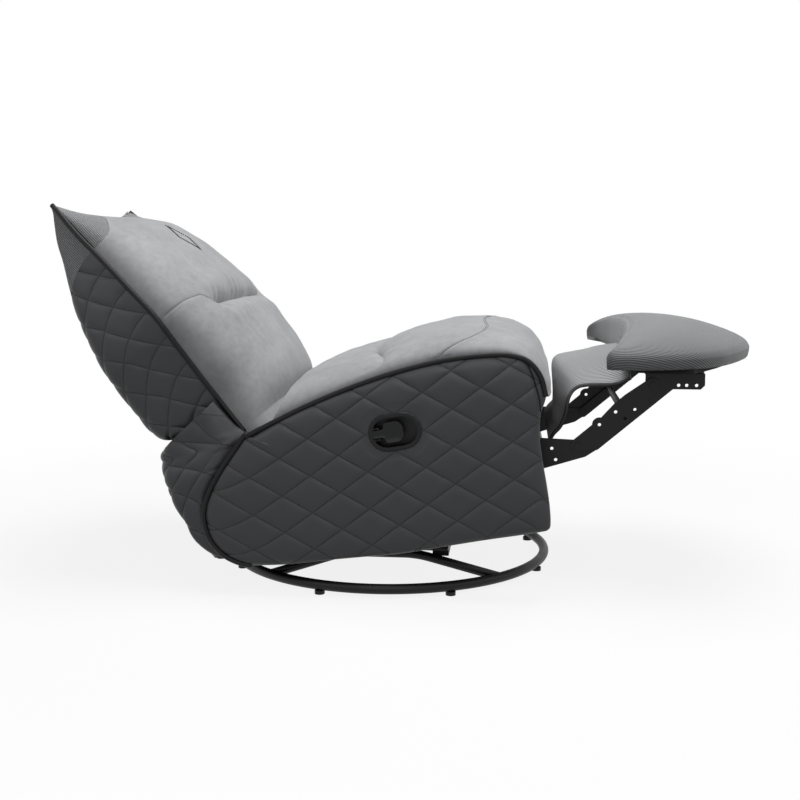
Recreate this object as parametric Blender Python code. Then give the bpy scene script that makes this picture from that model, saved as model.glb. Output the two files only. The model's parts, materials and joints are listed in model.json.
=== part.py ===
"""A swivel rocker recliner on a ring base, lying back with its footrest out.

Metres, +Z up. The sitter faces -Y and +X is at the sitter's left. Everything is placed from
the swivel axis on the floor, and the whole chair then hangs on one empty that centres it.
"""

import math

import bmesh
import bpy
from mathutils import Vector

# Clearances
TOUCH_GAP = 0.0003
SOFT_GAP = 0.0015
RUN_GAP = 0.0005
OVERRUN = 0.010
WELD = 0.00001

# Facets
RING_STEPS = 64
TUBE_SIDES = 12
HOLE_SIDES = 10
ARC_STEPS = 6

# Ring base
RING_RADIUS = 0.365
TUBE_RADIUS = 0.011
FOOT_COUNT = 8
FOOT_PHASE = math.radians(26.4)
FOOT_HEIGHT = 0.008
FOOT_RADIUS = 0.011
RAIL_RADIUS = 0.010
RAIL_X = 0.215
RAIL_STRAIGHT = 0.160
RAIL_CENTRE_Z = 0.058
RAIL_FRONT_TURN = math.radians(47.0)
RAIL_REAR_TURN = math.radians(41.0)
RAIL_BEND = 0.030
BASE_PLATE_LENGTH = 0.300
BASE_PLATE_THICKNESS = 0.005
CHANNEL_WIDTH = 0.036
CHANNEL_HEIGHT = 0.018
CHANNEL_END_GAP = 0.006

# Swivel and rocker
BEARING_RADIUS = 0.100
BEARING_BORE = 0.040
BEARING_HEIGHT = 0.005
TURNTABLE_LENGTH = 0.200
TURNTABLE_THICKNESS = 0.005
PIN_RADIUS = 0.008
PIN_HEAD_RADIUS = 0.014
PIN_HEAD_HEIGHT = 0.006
ROCK_HEIGHT = 0.130
STAND_X = 0.153
STAND_THICKNESS = 0.006
STAND_LENGTH = 0.140
STAND_TOP_RADIUS = 0.020
ROCK_PIN_RADIUS = 0.006
HANGER_THICKNESS = 0.006
HANGER_TOP_LENGTH = 0.240

# Seat body, whose outlines are shares of its length and of the seat's height
BODY_FRONT = 0.372
BODY_LENGTH = 0.731
SEAT_HEIGHT = 0.572
SEAT_HALF_WIDTH = 0.365
PANEL_INSIDE = 0.325
PANEL_EDGE = 0.362
PANEL_BULGE = 0.018
PANEL_SHRINK_SHARE = 0.985

# Deck and mechanism, in a frame that slopes down to the rear from the front pivot
DECK_SLOPE = math.radians(7.6)
FRONT_PIVOT_Y = -0.286
FRONT_PIVOT_Z = 0.317
PLATE_THICKNESS = 0.004
PLATE_GAP = 0.001
LINK_PLANE_X = 0.250
MECH_HALF_HEIGHT = 0.020
ARM_FOOT_AHEAD = 0.1433
CROSS_RAIL_HEIGHT = 0.036
CROSS_RAIL_WIDTH = 0.024
FRONT_RAIL_AT = 0.090
REAR_RAIL_INSET = 0.050
DECK_THICKNESS = 0.012
DECK_FROM = -0.010
DECK_INSET = 0.020
TIE_TUBE_RADIUS = 0.010

# Footrest linkage
LINK_ONE_LENGTH = 0.142
LINK_ONE_DROP = math.radians(1.0)
LINK_TWO_LENGTH = 0.2015
LINK_TWO_RISE = math.radians(40.6)
PARALLEL_OFFSET = 0.036
LINK_TWO_HALF_WIDTH = 0.0155
LINK_TWO_SKIRT = 0.030
LINK_TWO_SKIRT_SPAN = (0.030, 0.170)
LINK_TWO_HUMP = 0.0055
LOWER_LINK_EYE_RADIUS = 0.0145
LOWER_LINK_TIP_RADIUS = 0.0095
LOWER_LINK_BELLY_RADIUS = 0.018
LOWER_LINK_BELLY = (-0.049, -0.042)
LOWER_LINK_TOE = (-0.154, -0.0185)
LOWER_LINK_HOLES = ((-0.0867, -0.0105), (-0.0953, -0.0348))
PARALLEL_HALF_WIDTH = 0.0115
RIVET_RADIUS = 0.0045
HEAD_RATIO = 1.65
RIVET_HEAD_HEIGHT = 0.0025
SHAFT_RADIUS = 0.010
HOLE_RADIUS = 0.0035
LINK_TWO_HOLES = ((0.528, -0.0055), (0.561, 0.0172), (0.697, 0.0165))
REAR_LINK_HOLES = ((0.561, -0.0062), (0.697, -0.0069))
LUG_ALONG = 0.063
LUG_OFFSET = 0.006
SPREADER_RADIUS = 0.008
SPREADER_AT_SHARE = 0.45
SPREADER_RISE = 0.006
BRACKET_LENGTH = 0.123
BRACKET_BACK = 0.015
BRACKET_BELOW = 0.0085
BRACKET_HOLES = (0.054, 0.0705, 0.091)
BRACKET_ABOVE = 0.0245
FLANGE_WIDTH = 0.022
FLANGE_THICKNESS = 0.003
SPACER_HEIGHT = 0.008
SPACER_RADIUS = 0.009
BOARD_THICKNESS = 0.010

# Footrest pad
PAD_FRONT = 0.822
PAD_HALF_WIDTH = 0.372
PAD_DEPTH = 0.350
PAD_HORN = 0.058
PAD_FRONT_BOW = 0.215
PAD_POWER = 3.2
PAD_RIM_SHARE = 0.58
PAD_EDGE_HEIGHT = 0.034
PAD_CROWN = 0.054
BOARD_INSET = 0.045

# Calf flap
FLAP_THICKNESS = 0.010
FLAP_HALF_WIDTH = 0.225

# Back, in a frame that leans with it from the foot of its piping
BACK_FOOT_Y = 0.283
BACK_FOOT_Z = 0.342
BACK_LEAN = math.radians(42.0)
BACK_LENGTH = 0.656
BACK_CROWN = 0.146
BACK_DEPTH = 0.164
BACK_FOOT_HALF_WIDTH = 0.312
BACK_HALF_WIDTH = 0.345
EAR_HALF_WIDTH = 0.246
BRACKET_REACH_SHARE = 0.354
HINGE_ALONG = 0.107
HINGE_AHEAD = 0.044
BACK_END_RADIUS = 0.128
SEAT_HOLLOW_RADIUS = 0.138
HINGE_EYE_RADIUS = 0.022
HINGE_PIN_RADIUS = 0.006
SLOT_CLEARANCE = 0.006
RECLINE = math.radians(30.0)

# Skirt behind the seat
SKIRT_THICKNESS = 0.010
SKIRT_FLARE = 0.012
SKIRT_CORNER_SHARE = 0.15

# Release lever in the sitter's right-hand panel
LEVER_Y = -0.049
LEVER_Z = 0.358
LEVER_TILT = math.radians(10.0)
BEZEL_LENGTH = 0.112
BEZEL_HEIGHT = 0.078
BEZEL_RIM = 0.009
BEZEL_PROUD = 0.004
CUP_DEPTH = 0.026
CUP_WALL = 0.0025
PADDLE_THICKNESS = 0.006
STEM_LENGTH = 0.024
STEM_WIDTH = 0.017
HEAD_LENGTH = 0.042
HEAD_WIDTH = 0.044
LEVER_PIN_RADIUS = 0.003

# Outline of the seat and its side panels, as shares of BODY_LENGTH and SEAT_HEIGHT
PIPING_SHARES = (
    (0.867, 0.591), (0.781, 0.657), (0.681, 0.720), (0.550, 0.790), (0.420, 0.846),
    (0.291, 0.886), (0.164, 0.904), (0.100, 0.897), (0.062, 0.871), (0.036, 0.823),
    (0.022, 0.757),
)
CROWN_SHARES = (
    (0.755, 0.790), (0.680, 0.838), (0.591, 0.875), (0.499, 0.916), (0.393, 0.962),
    (0.285, 0.991), (0.174, 0.987), (0.092, 0.957), (0.037, 0.898), (0.008, 0.817),
    (0.000, 0.752),
)
REAR_SHARES = (
    (0.876, 0.600), (0.908, 0.542), (0.944, 0.476), (0.981, 0.392), (1.000, 0.316),
    (0.997, 0.250), (0.979, 0.194), (0.944, 0.147), (0.903, 0.121), (0.862, 0.110),
)
BOTTOM_SHARES = (
    (0.755, 0.117), (0.653, 0.135), (0.542, 0.152), (0.421, 0.171), (0.289, 0.203),
    (0.190, 0.227), (0.093, 0.248), (0.030, 0.266),
)
FRONT_SHARES = (
    (0.003, 0.297), (0.004, 0.357), (0.012, 0.441), (0.023, 0.566), (0.027, 0.673),
)
SKIRT_REAR_SHARES = (
    (0.995, 0.115), (1.050, 0.186), (1.083, 0.258), (1.116, 0.328), (1.139, 0.388),
    (1.154, 0.446), (1.158, 0.495), (1.138, 0.527),
)
SKIRT_FRONT_SHARES = (
    (0.905, 0.150), (0.945, 0.212), (0.963, 0.260), (0.964, 0.316), (0.950, 0.392),
    (0.922, 0.500), (0.912, 0.600), (0.975, 0.690),
)
SKIRT_WIDTH_SHARES = (0.0, 0.0, 0.0, 0.0, 0.0, 0.0, 0.35, 1.0)
CUSHION_REAR_SHARE = (0.800, 0.643)
PANEL_CENTRE_SHARES = (0.45, 0.45)

# Across the seat, as shares of SEAT_HALF_WIDTH, with a step in the underside at the panels
ACROSS_SHARES = (
    -1.0, -0.985, -0.94, -0.865, -0.845, -0.68, -0.46, -0.23,
    0.0, 0.23, 0.46, 0.68, 0.845, 0.865, 0.94, 0.985, 1.0,
)
BELLY_SHARE = 0.85
CROWN_POWER = 2.7

# Depth of the seat front below the piping's end, and the belly's stand-off above the deck
SEAT_FRONT_DROP = 0.022
TUFT_DEPTH = 0.012
TUFT_AT_SHARE = 0.42
TUFT_WIDTH = 0.055

# Back profiles as (share of BACK_LENGTH, share of the crown, depth or width that it scales)
BACK_CROWN_SHARES = (
    (0.005, 0.66), (0.05, 0.81), (0.10, 0.90), (0.18, 0.965), (0.27, 0.99), (0.35, 0.985),
    (0.394, 0.94),
)
HEAD_CROWN_SHARES = (
    (0.397, 0.90), (0.45, 0.945), (0.53, 0.915), (0.62, 0.87), (0.71, 0.785), (0.80, 0.64),
    (0.88, 0.42), (0.94, 0.20), (0.98, 0.06),
)
SHELL_DEPTH_SHARES = (
    (0.062, 0.70), (0.100, 0.78), (0.129, 0.82), (0.137, 0.95), (0.20, 1.0), (0.27, 0.985), (0.36, 0.94),
    (0.45, 0.88), (0.56, 0.76), (0.68, 0.60), (0.79, 0.40), (0.86, 0.285), (0.92, 0.175),
    (0.965, 0.085), (0.99, 0.03),
)
BACK_WIDTH_SHARES = (
    (0.0, 0.0), (0.06, 0.0), (0.13, 0.06), (0.20, 0.30), (0.31, 0.62), (0.42, 1.0),
)
EAR_START_SHARE = 0.45
EAR_DIP = 0.034

# Set-back of the footrest's front edge, as (share of its half width, share of the bow)
PAD_BOW_SHARES = (
    (0.0, 0.0), (0.2, 0.035), (0.39, 0.14), (0.58, 0.28), (0.74, 0.42), (0.87, 0.55),
    (0.955, 0.70), (1.0, 0.97),
)

# Height of the footrest's crown from its front edge to its rear edge
PAD_CROWN_SHARES = (
    (0.0, 0.0), (0.02, 0.12), (0.07, 0.28), (0.15, 0.45), (0.25, 0.62), (0.37, 0.79),
    (0.50, 0.92), (0.63, 0.99), (0.75, 1.0), (0.85, 0.96), (0.93, 0.82), (0.98, 0.55), (1.0, 0.0),
)

# Calf flap from the seat front to the footrest, as shares of BODY_LENGTH and SEAT_HEIGHT, along
# the chair's middle and along the flap's edges, which hang lower
FLAP_MIDDLE_SHARES = (
    (-0.0006, 0.620), (-0.0006, 0.715), (-0.004, 0.788), (-0.022, 0.822), (-0.050, 0.846),
    (-0.100, 0.864), (-0.140, 0.878), (-0.175, 0.890), (-0.208, 0.893),
)
FLAP_EDGE_SHARES = (
    (-0.0006, 0.620), (-0.0008, 0.655), (-0.018, 0.690), (-0.039, 0.728), (-0.058, 0.757),
    (-0.101, 0.771), (-0.150, 0.783), (-0.178, 0.792), (-0.204, 0.808),
)

FINISHES = {
    "satin_black_steel": ((0.012, 0.012, 0.013), 0.38, 0.9),
    "zinc_steel": ((0.45, 0.45, 0.46), 0.4, 1.0),
    "black_plastic": ((0.010, 0.010, 0.011), 0.5, 0.0),
    "plywood": ((0.42, 0.28, 0.15), 0.7, 0.0),
    "grey_suede_cloth": ((0.36, 0.37, 0.37), 0.9, 0.0),
    "charcoal_leather": ((0.045, 0.045, 0.048), 0.5, 0.0),
    "ribbed_cloth": ((0.16, 0.16, 0.17), 0.7, 0.0),
}


def clear_scene():
    """Removes what the scene holds."""
    for thing in list(bpy.data.objects):
        bpy.data.objects.remove(thing, do_unlink=True)


def finish_named(name):
    """The material of that name, made once."""
    if name in bpy.data.materials:
        return bpy.data.materials[name]
    colour, roughness, metallic = FINISHES[name]
    material = bpy.data.materials.new(name)
    material.use_nodes = True
    shader = material.node_tree.nodes["Principled BSDF"]
    shader.inputs["Base Color"].default_value = (*colour, 1.0)
    shader.inputs["Roughness"].default_value = roughness
    shader.inputs["Metallic"].default_value = metallic
    return material


def add_part(name, mesh_data, finish, parent, smooth=True):
    """Turns a bmesh that is laid out in the chair's frame into a part under its parent."""
    bmesh.ops.remove_doubles(mesh_data, verts=mesh_data.verts, dist=WELD)
    bmesh.ops.recalc_face_normals(mesh_data, faces=mesh_data.faces)
    bmesh.ops.triangulate(mesh_data, faces=mesh_data.faces)
    origin = parent_place(parent)
    bmesh.ops.translate(mesh_data, verts=mesh_data.verts, vec=-origin)
    mesh = bpy.data.meshes.new(name)
    mesh_data.to_mesh(mesh)
    mesh_data.free()
    if smooth:
        mesh.shade_smooth()
        mesh.set_sharp_from_angle(angle=math.radians(35.0))
    part = bpy.data.objects.new(name, mesh)
    bpy.context.scene.collection.objects.link(part)
    part.data.materials.append(finish_named(finish))
    part.parent = parent
    return part


def parent_place(parent):
    """Where an empty stands in the chair's frame."""
    place = Vector((0.0, 0.0, 0.0))
    while parent is not None and parent.parent is not None:
        place += parent.location
        parent = parent.parent
    return place


def add_empty(name, place, parent):
    """An empty on a joint's axis, placed in the chair's frame."""
    empty = bpy.data.objects.new(name, None)
    bpy.context.scene.collection.objects.link(empty)
    empty.parent = parent
    empty.location = Vector(place) - parent_place(parent)
    return empty


def add_cutter(name, mesh_data, parent):
    """A hidden helper that a Boolean uses."""
    cutter = add_part(name, mesh_data, "black_plastic", parent, smooth=False)
    cutter.hide_render = True
    cutter.display_type = "WIRE"
    return cutter


def cut(part, cutter, operation="DIFFERENCE"):
    """Cuts one mesh from a part, or joins it to the part."""
    modifier = part.modifiers.new(cutter.name, "BOOLEAN")
    modifier.operation = operation
    modifier.solver = "EXACT"
    modifier.object = cutter
    return part


def ring_faces(mesh_data, rings, closed=False):
    """Bridges rings of equal length and caps the ends, unless the rings close on themselves."""
    rows = [[mesh_data.verts.new(point) for point in ring] for ring in rings]
    count = len(rows[0])
    pairs = list(zip(rows, rows[1:]))
    if closed:
        pairs.append((rows[-1], rows[0]))
    for low, high in pairs:
        for index in range(count):
            after = (index + 1) % count
            mesh_data.faces.new((low[index], low[after], high[after], high[index]))
    if not closed:
        mesh_data.faces.new(rows[0])
        mesh_data.faces.new(rows[-1])
    return mesh_data


def lofted(rings, closed=False):
    """A new bmesh lofted through rings."""
    return ring_faces(bmesh.new(), rings, closed)


def circle(centre, across, up, radius, sides):
    """Points round a centre, in the plane of two unit vectors."""
    turns = [2.0 * math.pi * index / sides for index in range(sides)]
    return [centre + across * radius * math.cos(t) + up * radius * math.sin(t) for t in turns]


def round_hole(radius):
    """The radius of a faceted hole that leaves room for a round bar of the given radius."""
    return radius / math.cos(math.pi / HOLE_SIDES)


def bar(start, end, radius, sides=TUBE_SIDES):
    """A round bar between two points."""
    return turned(start, end, ((0.0, radius), (1.0, radius)), sides)


def turned(start, end, profile, sides=TUBE_SIDES):
    """A stepped round bar: profile holds (share of the way from start to end, radius)."""
    start, end = Vector(start), Vector(end)
    axis = (end - start).normalized()
    across = axis.orthogonal().normalized()
    up = axis.cross(across)
    rings = [
        circle(start.lerp(end, share), across, up, radius, sides) for share, radius in profile
    ]
    return lofted(rings)


def prism(outline, low_x, high_x):
    """An outline of (y, z) points drawn out along X."""
    rings = [[Vector((x, y, z)) for y, z in outline] for x in (low_x, high_x)]
    return lofted(rings)


def slab(low, high):
    """A plain block between two corners."""
    (x0, y0, z0), (x1, y1, z1) = low, high
    return prism(((y0, z0), (y1, z0), (y1, z1), (y0, z1)), x0, x1)


def arc(centre, radius, start, end, steps=ARC_STEPS):
    """(y, z) points on an arc, both ends included."""
    y, z = centre
    turns = [start + (end - start) * step / steps for step in range(steps + 1)]
    return [(y + radius * math.cos(t), z + radius * math.sin(t)) for t in turns]


def hull_of_circles(circles):
    """The (y, z) outline that a band stretched round circles of (centre, radius) takes."""
    steps = 4 * ARC_STEPS
    points = set()
    for centre, radius in circles:
        points.update(arc(centre, radius, 0.0, 2.0 * math.pi * (1.0 - 1.0 / steps), steps - 1))
    points = sorted(points)
    return half_hull(points)[:-1] + half_hull(points[::-1])[:-1]


def half_hull(points):
    """One side of the hull of points that are sorted along Y."""
    kept = []
    for point in points:
        while len(kept) > 1 and turns_right(kept[-2], kept[-1], point):
            kept.pop()
        kept.append(point)
    return kept


def turns_right(first, middle, last):
    """Whether three (y, z) points make a right turn, or none."""
    (y0, z0), (y1, z1), (y2, z2) = first, middle, last
    return (y1 - y0) * (z2 - z0) - (z1 - z0) * (y2 - y0) <= 0.0


def smooth_through(points, spans):
    """Points on a Catmull-Rom curve through the given ones, spans per stretch."""
    points = [Vector(point) for point in points]
    ends = [2 * points[0] - points[1], *points, 2 * points[-1] - points[-2]]
    line = []
    for index in range(len(points) - 1):
        a, b, c, d = ends[index : index + 4]
        for step in range(spans):
            t = step / spans
            line.append(
                0.5 * (2 * b + (c - a) * t + (2 * a - 5 * b + 4 * c - d) * t * t
                       + (3 * b - a - 3 * c + d) * t * t * t)
            )
    line.append(points[-1])
    return line


def swept(path, radius, sides=TUBE_SIDES):
    """A round tube along a path whose bends lie near one plane."""
    path = [Vector(point) for point in path]
    rings = []
    across = None
    for index, point in enumerate(path):
        before = path[max(index - 1, 0)]
        after = path[min(index + 1, len(path) - 1)]
        along = (after - before).normalized()
        if across is None:
            across = along.orthogonal().normalized()
        across = (across - along * across.dot(along)).normalized()
        rings.append(circle(point, across, along.cross(across), radius, sides))
    return lofted(rings)


def rounded_path(corners, bend, steps=ARC_STEPS):
    """A path through corners, each rounded by a curve that starts one bend away from it."""
    corners = [Vector(corner) for corner in corners]
    path = [corners[0]]
    for before, corner, after in zip(corners, corners[1:], corners[2:]):
        first = corner + (before - corner).normalized() * bend
        last = corner + (after - corner).normalized() * bend
        for step in range(steps + 1):
            t = step / steps
            path.append(first.lerp(corner, t).lerp(corner.lerp(last, t), t))
    path.append(corners[-1])
    return path


def two_sided(top, bottom):
    """A closed solid from two grids of points that share their layout, joined round the edge."""
    mesh_data = bmesh.new()
    rows = [[mesh_data.verts.new(point) for point in row] for row in top]
    under = [[mesh_data.verts.new(point) for point in row] for row in bottom]
    high, wide = len(rows), len(rows[0])
    for grid in (rows, under):
        for r in range(high - 1):
            for c in range(wide - 1):
                mesh_data.faces.new(
                    (grid[r][c], grid[r][c + 1], grid[r + 1][c + 1], grid[r + 1][c])
                )
    border = [(0, c) for c in range(wide)]
    border += [(r, wide - 1) for r in range(1, high)]
    border += [(high - 1, c) for c in range(wide - 2, -1, -1)]
    border += [(r, 0) for r in range(high - 2, 0, -1)]
    for (r0, c0), (r1, c1) in zip(border, border[1:] + border[:1]):
        mesh_data.faces.new((rows[r0][c0], rows[r1][c1], under[r1][c1], under[r0][c0]))
    return mesh_data


def at_share(table, share):
    """Reads a table of (share, value) rows, straight between them."""
    if share <= table[0][0]:
        return table[0][1]
    for (s0, v0), (s1, v1) in zip(table, table[1:]):
        if share <= s1:
            return v0 + (v1 - v0) * (share - s0) / (s1 - s0)
    return table[-1][1]


def body_point(share):
    """A (y, z) point of the seat body from its shares."""
    return (share[0] * BODY_LENGTH - BODY_FRONT, share[1] * SEAT_HEIGHT)


def deck_point(along, above):
    """A (y, z) point in the deck's sloping frame, from the footrest's front pivot."""
    cos_slope, sin_slope = math.cos(DECK_SLOPE), math.sin(DECK_SLOPE)
    y = FRONT_PIVOT_Y + along * cos_slope + above * sin_slope
    z = FRONT_PIVOT_Z - along * sin_slope + above * cos_slope
    return (y, z)


def back_point(x, along, behind):
    """A point in the back's leaning frame: along its piping, and behind it."""
    y = BACK_FOOT_Y + along * math.sin(BACK_LEAN) + behind * math.cos(BACK_LEAN)
    z = BACK_FOOT_Z + along * math.cos(BACK_LEAN) - behind * math.sin(BACK_LEAN)
    return Vector((x, y, z))


def hinge_place():
    """(y, z) of the back's recline hinge."""
    place = back_point(0.0, HINGE_ALONG, -HINGE_AHEAD)
    return (place.y, place.z)


def joint_places():
    """(y, z) of the footrest linkage's pivots, by name."""
    pivot = Vector((FRONT_PIVOT_Y, FRONT_PIVOT_Z))
    down = math.pi + LINK_ONE_DROP
    elbow = pivot + LINK_ONE_LENGTH * Vector((math.cos(down), math.sin(down)))
    rise = math.pi - LINK_TWO_RISE
    along = Vector((math.cos(rise), math.sin(rise)))
    knee = elbow + LINK_TWO_LENGTH * along
    offset = Vector((-PARALLEL_OFFSET, 0.0))
    above = Vector((along.y, -along.x))
    lug = elbow + LUG_ALONG * along + LUG_OFFSET * above
    spreader = elbow + offset + SPREADER_AT_SHARE * LINK_TWO_LENGTH * along
    spreader += SPREADER_RISE * above
    return {
        "pivot": tuple(pivot),
        "elbow": tuple(elbow),
        "knee": tuple(knee),
        "rear_elbow": tuple(elbow + offset),
        "rear_knee": tuple(knee + offset),
        "lug": tuple(lug),
        "spreader": tuple(spreader),
    }


PLACES = joint_places()
RING_Z = FOOT_HEIGHT + TOUCH_GAP + TUBE_RADIUS
PLATE_Z = RAIL_CENTRE_Z + RAIL_RADIUS + TOUCH_GAP
BEARING_Z = PLATE_Z + BASE_PLATE_THICKNESS + TOUCH_GAP
TURNTABLE_Z = BEARING_Z + BEARING_HEIGHT + TOUCH_GAP
TURNTABLE_TOP = TURNTABLE_Z + TURNTABLE_THICKNESS
DECK_ABOVE = MECH_HALF_HEIGHT + CROSS_RAIL_HEIGHT + 2 * TOUCH_GAP
BELLY_ABOVE = DECK_ABOVE + DECK_THICKNESS + SOFT_GAP
BOARD_Z = PLACES["knee"][1] + BRACKET_ABOVE + SPACER_HEIGHT + 2 * TOUCH_GAP
PAD_Z = BOARD_Z + BOARD_THICKNESS + TOUCH_GAP
BACK_REACH = back_point(0.0, BACK_LENGTH, 0.0).y
MECH_LENGTH = (hinge_place()[0] - FRONT_PIVOT_Y) / math.cos(DECK_SLOPE) - ARM_FOOT_AHEAD
SWIVEL_X = BEZEL_PROUD / 2
SWIVEL_Y = (PAD_FRONT - BACK_REACH) / 2


def torus(radius, tube, centre_z):
    """A closed ring about the swivel axis."""
    rings = []
    for step in range(RING_STEPS):
        turn = 2.0 * math.pi * step / RING_STEPS
        out = Vector((math.cos(turn), math.sin(turn), 0.0))
        centre = out * radius + Vector((0.0, 0.0, centre_z))
        rings.append(circle(centre, out, Vector((0.0, 0.0, 1.0)), tube, TUBE_SIDES))
    return lofted(rings, closed=True)


def base_rail_path(side):
    """From the ring up to the straight stretch beside the swivel and down to the ring again."""
    half = RAIL_STRAIGHT / 2
    corners = (
        (side * RING_RADIUS * math.cos(RAIL_FRONT_TURN), -RING_RADIUS * math.sin(RAIL_FRONT_TURN),
         RING_Z),
        (side * RAIL_X, -half, RAIL_CENTRE_Z),
        (side * RAIL_X, half, RAIL_CENTRE_Z),
        (side * RING_RADIUS * math.cos(RAIL_REAR_TURN), RING_RADIUS * math.sin(RAIL_REAR_TURN),
         RING_Z),
    )
    return rounded_path(corners, RAIL_BEND)


def build_base(root):
    """The ring, its feet, the two bent rails, the channels and the swivel's lower half."""
    add_part("base_ring", torus(RING_RADIUS, TUBE_RADIUS, RING_Z), "satin_black_steel", root)
    saddle = add_cutter("ring_saddle", torus(RING_RADIUS, TUBE_RADIUS + TOUCH_GAP, RING_Z), root)
    for index in range(FOOT_COUNT):
        turn = FOOT_PHASE + 2.0 * math.pi * index / FOOT_COUNT
        x, y = RING_RADIUS * math.cos(turn), RING_RADIUS * math.sin(turn)
        foot = bar((x, y, 0.0), (x, y, FOOT_HEIGHT), FOOT_RADIUS)
        add_part(f"foot_{index + 1}", foot, "black_plastic", root)
    for side, word in ((-1, "right"), (1, "left")):
        rail = swept(base_rail_path(side), RAIL_RADIUS)
        rail = add_part(f"base_rail_{word}", rail, "satin_black_steel", root)
        cut(rail, saddle)
    channel_end = RAIL_X - RAIL_RADIUS - CHANNEL_END_GAP
    for side, word in ((-1, "front"), (1, "rear")):
        edge = side * BASE_PLATE_LENGTH / 2
        low_y, high_y = sorted((edge, edge - side * CHANNEL_WIDTH))
        top = PLATE_Z - TOUCH_GAP
        channel = slab(
            (-channel_end, low_y, top - CHANNEL_HEIGHT), (channel_end, high_y, top)
        )
        add_part(f"base_channel_{word}", channel, "satin_black_steel", root, smooth=False)
    half = BASE_PLATE_LENGTH / 2
    reach = RAIL_X + RAIL_RADIUS
    plate = slab(
        (-reach, -half, PLATE_Z), (reach, half, PLATE_Z + BASE_PLATE_THICKNESS)
    )
    plate = add_part("base_plate", plate, "satin_black_steel", root, smooth=False)
    bore = bar(
        (0.0, 0.0, PLATE_Z - OVERRUN), (0.0, 0.0, TURNTABLE_TOP + OVERRUN), PIN_RADIUS + RUN_GAP
    )
    bore = add_cutter("swivel_bore", bore, root)
    cut(plate, bore)
    rings = []
    for step in range(RING_STEPS):
        turn = 2.0 * math.pi * step / RING_STEPS
        out = Vector((math.cos(turn), math.sin(turn), 0.0))
        low, high = BEARING_Z, BEARING_Z + BEARING_HEIGHT
        rings.append([
            out * BEARING_BORE + Vector((0.0, 0.0, low)),
            out * BEARING_RADIUS + Vector((0.0, 0.0, low)),
            out * BEARING_RADIUS + Vector((0.0, 0.0, high)),
            out * BEARING_BORE + Vector((0.0, 0.0, high)),
        ])
    add_part("swivel_bearing", lofted(rings, closed=True), "zinc_steel", root)
    return bore


def build_turntable(root, bore):
    """The plate that swivels, its pin and the two stands that the seat rocks on."""
    turntable = add_empty("turntable_axis", (0.0, 0.0, 0.0), root)
    reach = STAND_X + STAND_LENGTH / 8
    half = TURNTABLE_LENGTH / 2
    plate = slab((-reach, -half, TURNTABLE_Z), (reach, half, TURNTABLE_TOP))
    plate = add_part("turntable", plate, "satin_black_steel", turntable, smooth=False)
    cut(plate, bore)
    low = PLATE_Z - TOUCH_GAP - PIN_HEAD_HEIGHT
    high = TURNTABLE_TOP + TOUCH_GAP + PIN_HEAD_HEIGHT
    share = PIN_HEAD_HEIGHT / (high - low)
    profile = (
        (0.0, PIN_HEAD_RADIUS), (share, PIN_HEAD_RADIUS), (share, PIN_RADIUS),
        (1.0 - share, PIN_RADIUS), (1.0 - share, PIN_HEAD_RADIUS), (1.0, PIN_HEAD_RADIUS),
    )
    pin = turned((0.0, 0.0, low), (0.0, 0.0, high), profile)
    add_part("swivel_pin", pin, "zinc_steel", turntable)
    foot = TURNTABLE_TOP + TOUCH_GAP
    half = STAND_LENGTH / 2
    outline = hull_of_circles((
        ((-half + STAND_TOP_RADIUS, foot + STAND_TOP_RADIUS), STAND_TOP_RADIUS),
        ((half - STAND_TOP_RADIUS, foot + STAND_TOP_RADIUS), STAND_TOP_RADIUS),
        ((0.0, ROCK_HEIGHT), STAND_TOP_RADIUS),
    ))
    for side, word in ((-1, "right"), (1, "left")):
        low_x, high_x = sorted((
            side * (STAND_X - STAND_THICKNESS / 2), side * (STAND_X + STAND_THICKNESS / 2)
        ))
        stand = add_part(
            f"rocker_stand_{word}", prism(outline, low_x, high_x), "satin_black_steel",
            turntable, smooth=False,
        )
        hole = bar(
            (low_x - OVERRUN, 0.0, ROCK_HEIGHT), (high_x + OVERRUN, 0.0, ROCK_HEIGHT),
            ROCK_PIN_RADIUS + RUN_GAP,
        )
        cut(stand, add_cutter(f"rocker_hole_{word}", hole, turntable))
    return turntable


def sloped_block(along, length, low, high, half_width):
    """A block laid in the deck's sloping frame, across the chair."""
    corners = (
        deck_point(along, low), deck_point(along + length, low),
        deck_point(along + length, high), deck_point(along, high),
    )
    return prism(corners, -half_width, half_width)


def plate_span(side, layer):
    """(low x, high x) of a linkage plate: layer 1 is outermost, 0 in the middle, -1 inside."""
    centre = LINK_PLANE_X + layer * (PLATE_THICKNESS + PLATE_GAP)
    return sorted((side * (centre - PLATE_THICKNESS / 2), side * (centre + PLATE_THICKNESS / 2)))


def drilled(name, outline, side, layer, holes, parent):
    """A steel plate in one of the linkage's layers, with holes of (y, z) and radius."""
    low_x, high_x = plate_span(side, layer)
    plate = add_part(name, prism(outline, low_x, high_x), "satin_black_steel", parent, smooth=False)
    cutter = bmesh.new()
    for (y, z), radius in holes:
        rings = [
            circle(
                Vector((x, y, z)), Vector((0, 1, 0)), Vector((0, 0, 1)), round_hole(radius),
                HOLE_SIDES,
            )
            for x in (low_x - PLATE_GAP / 2, high_x + PLATE_GAP / 2)
        ]
        ring_faces(cutter, rings)
    return cut(plate, add_cutter(f"{name}_holes", cutter, parent))


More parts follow.
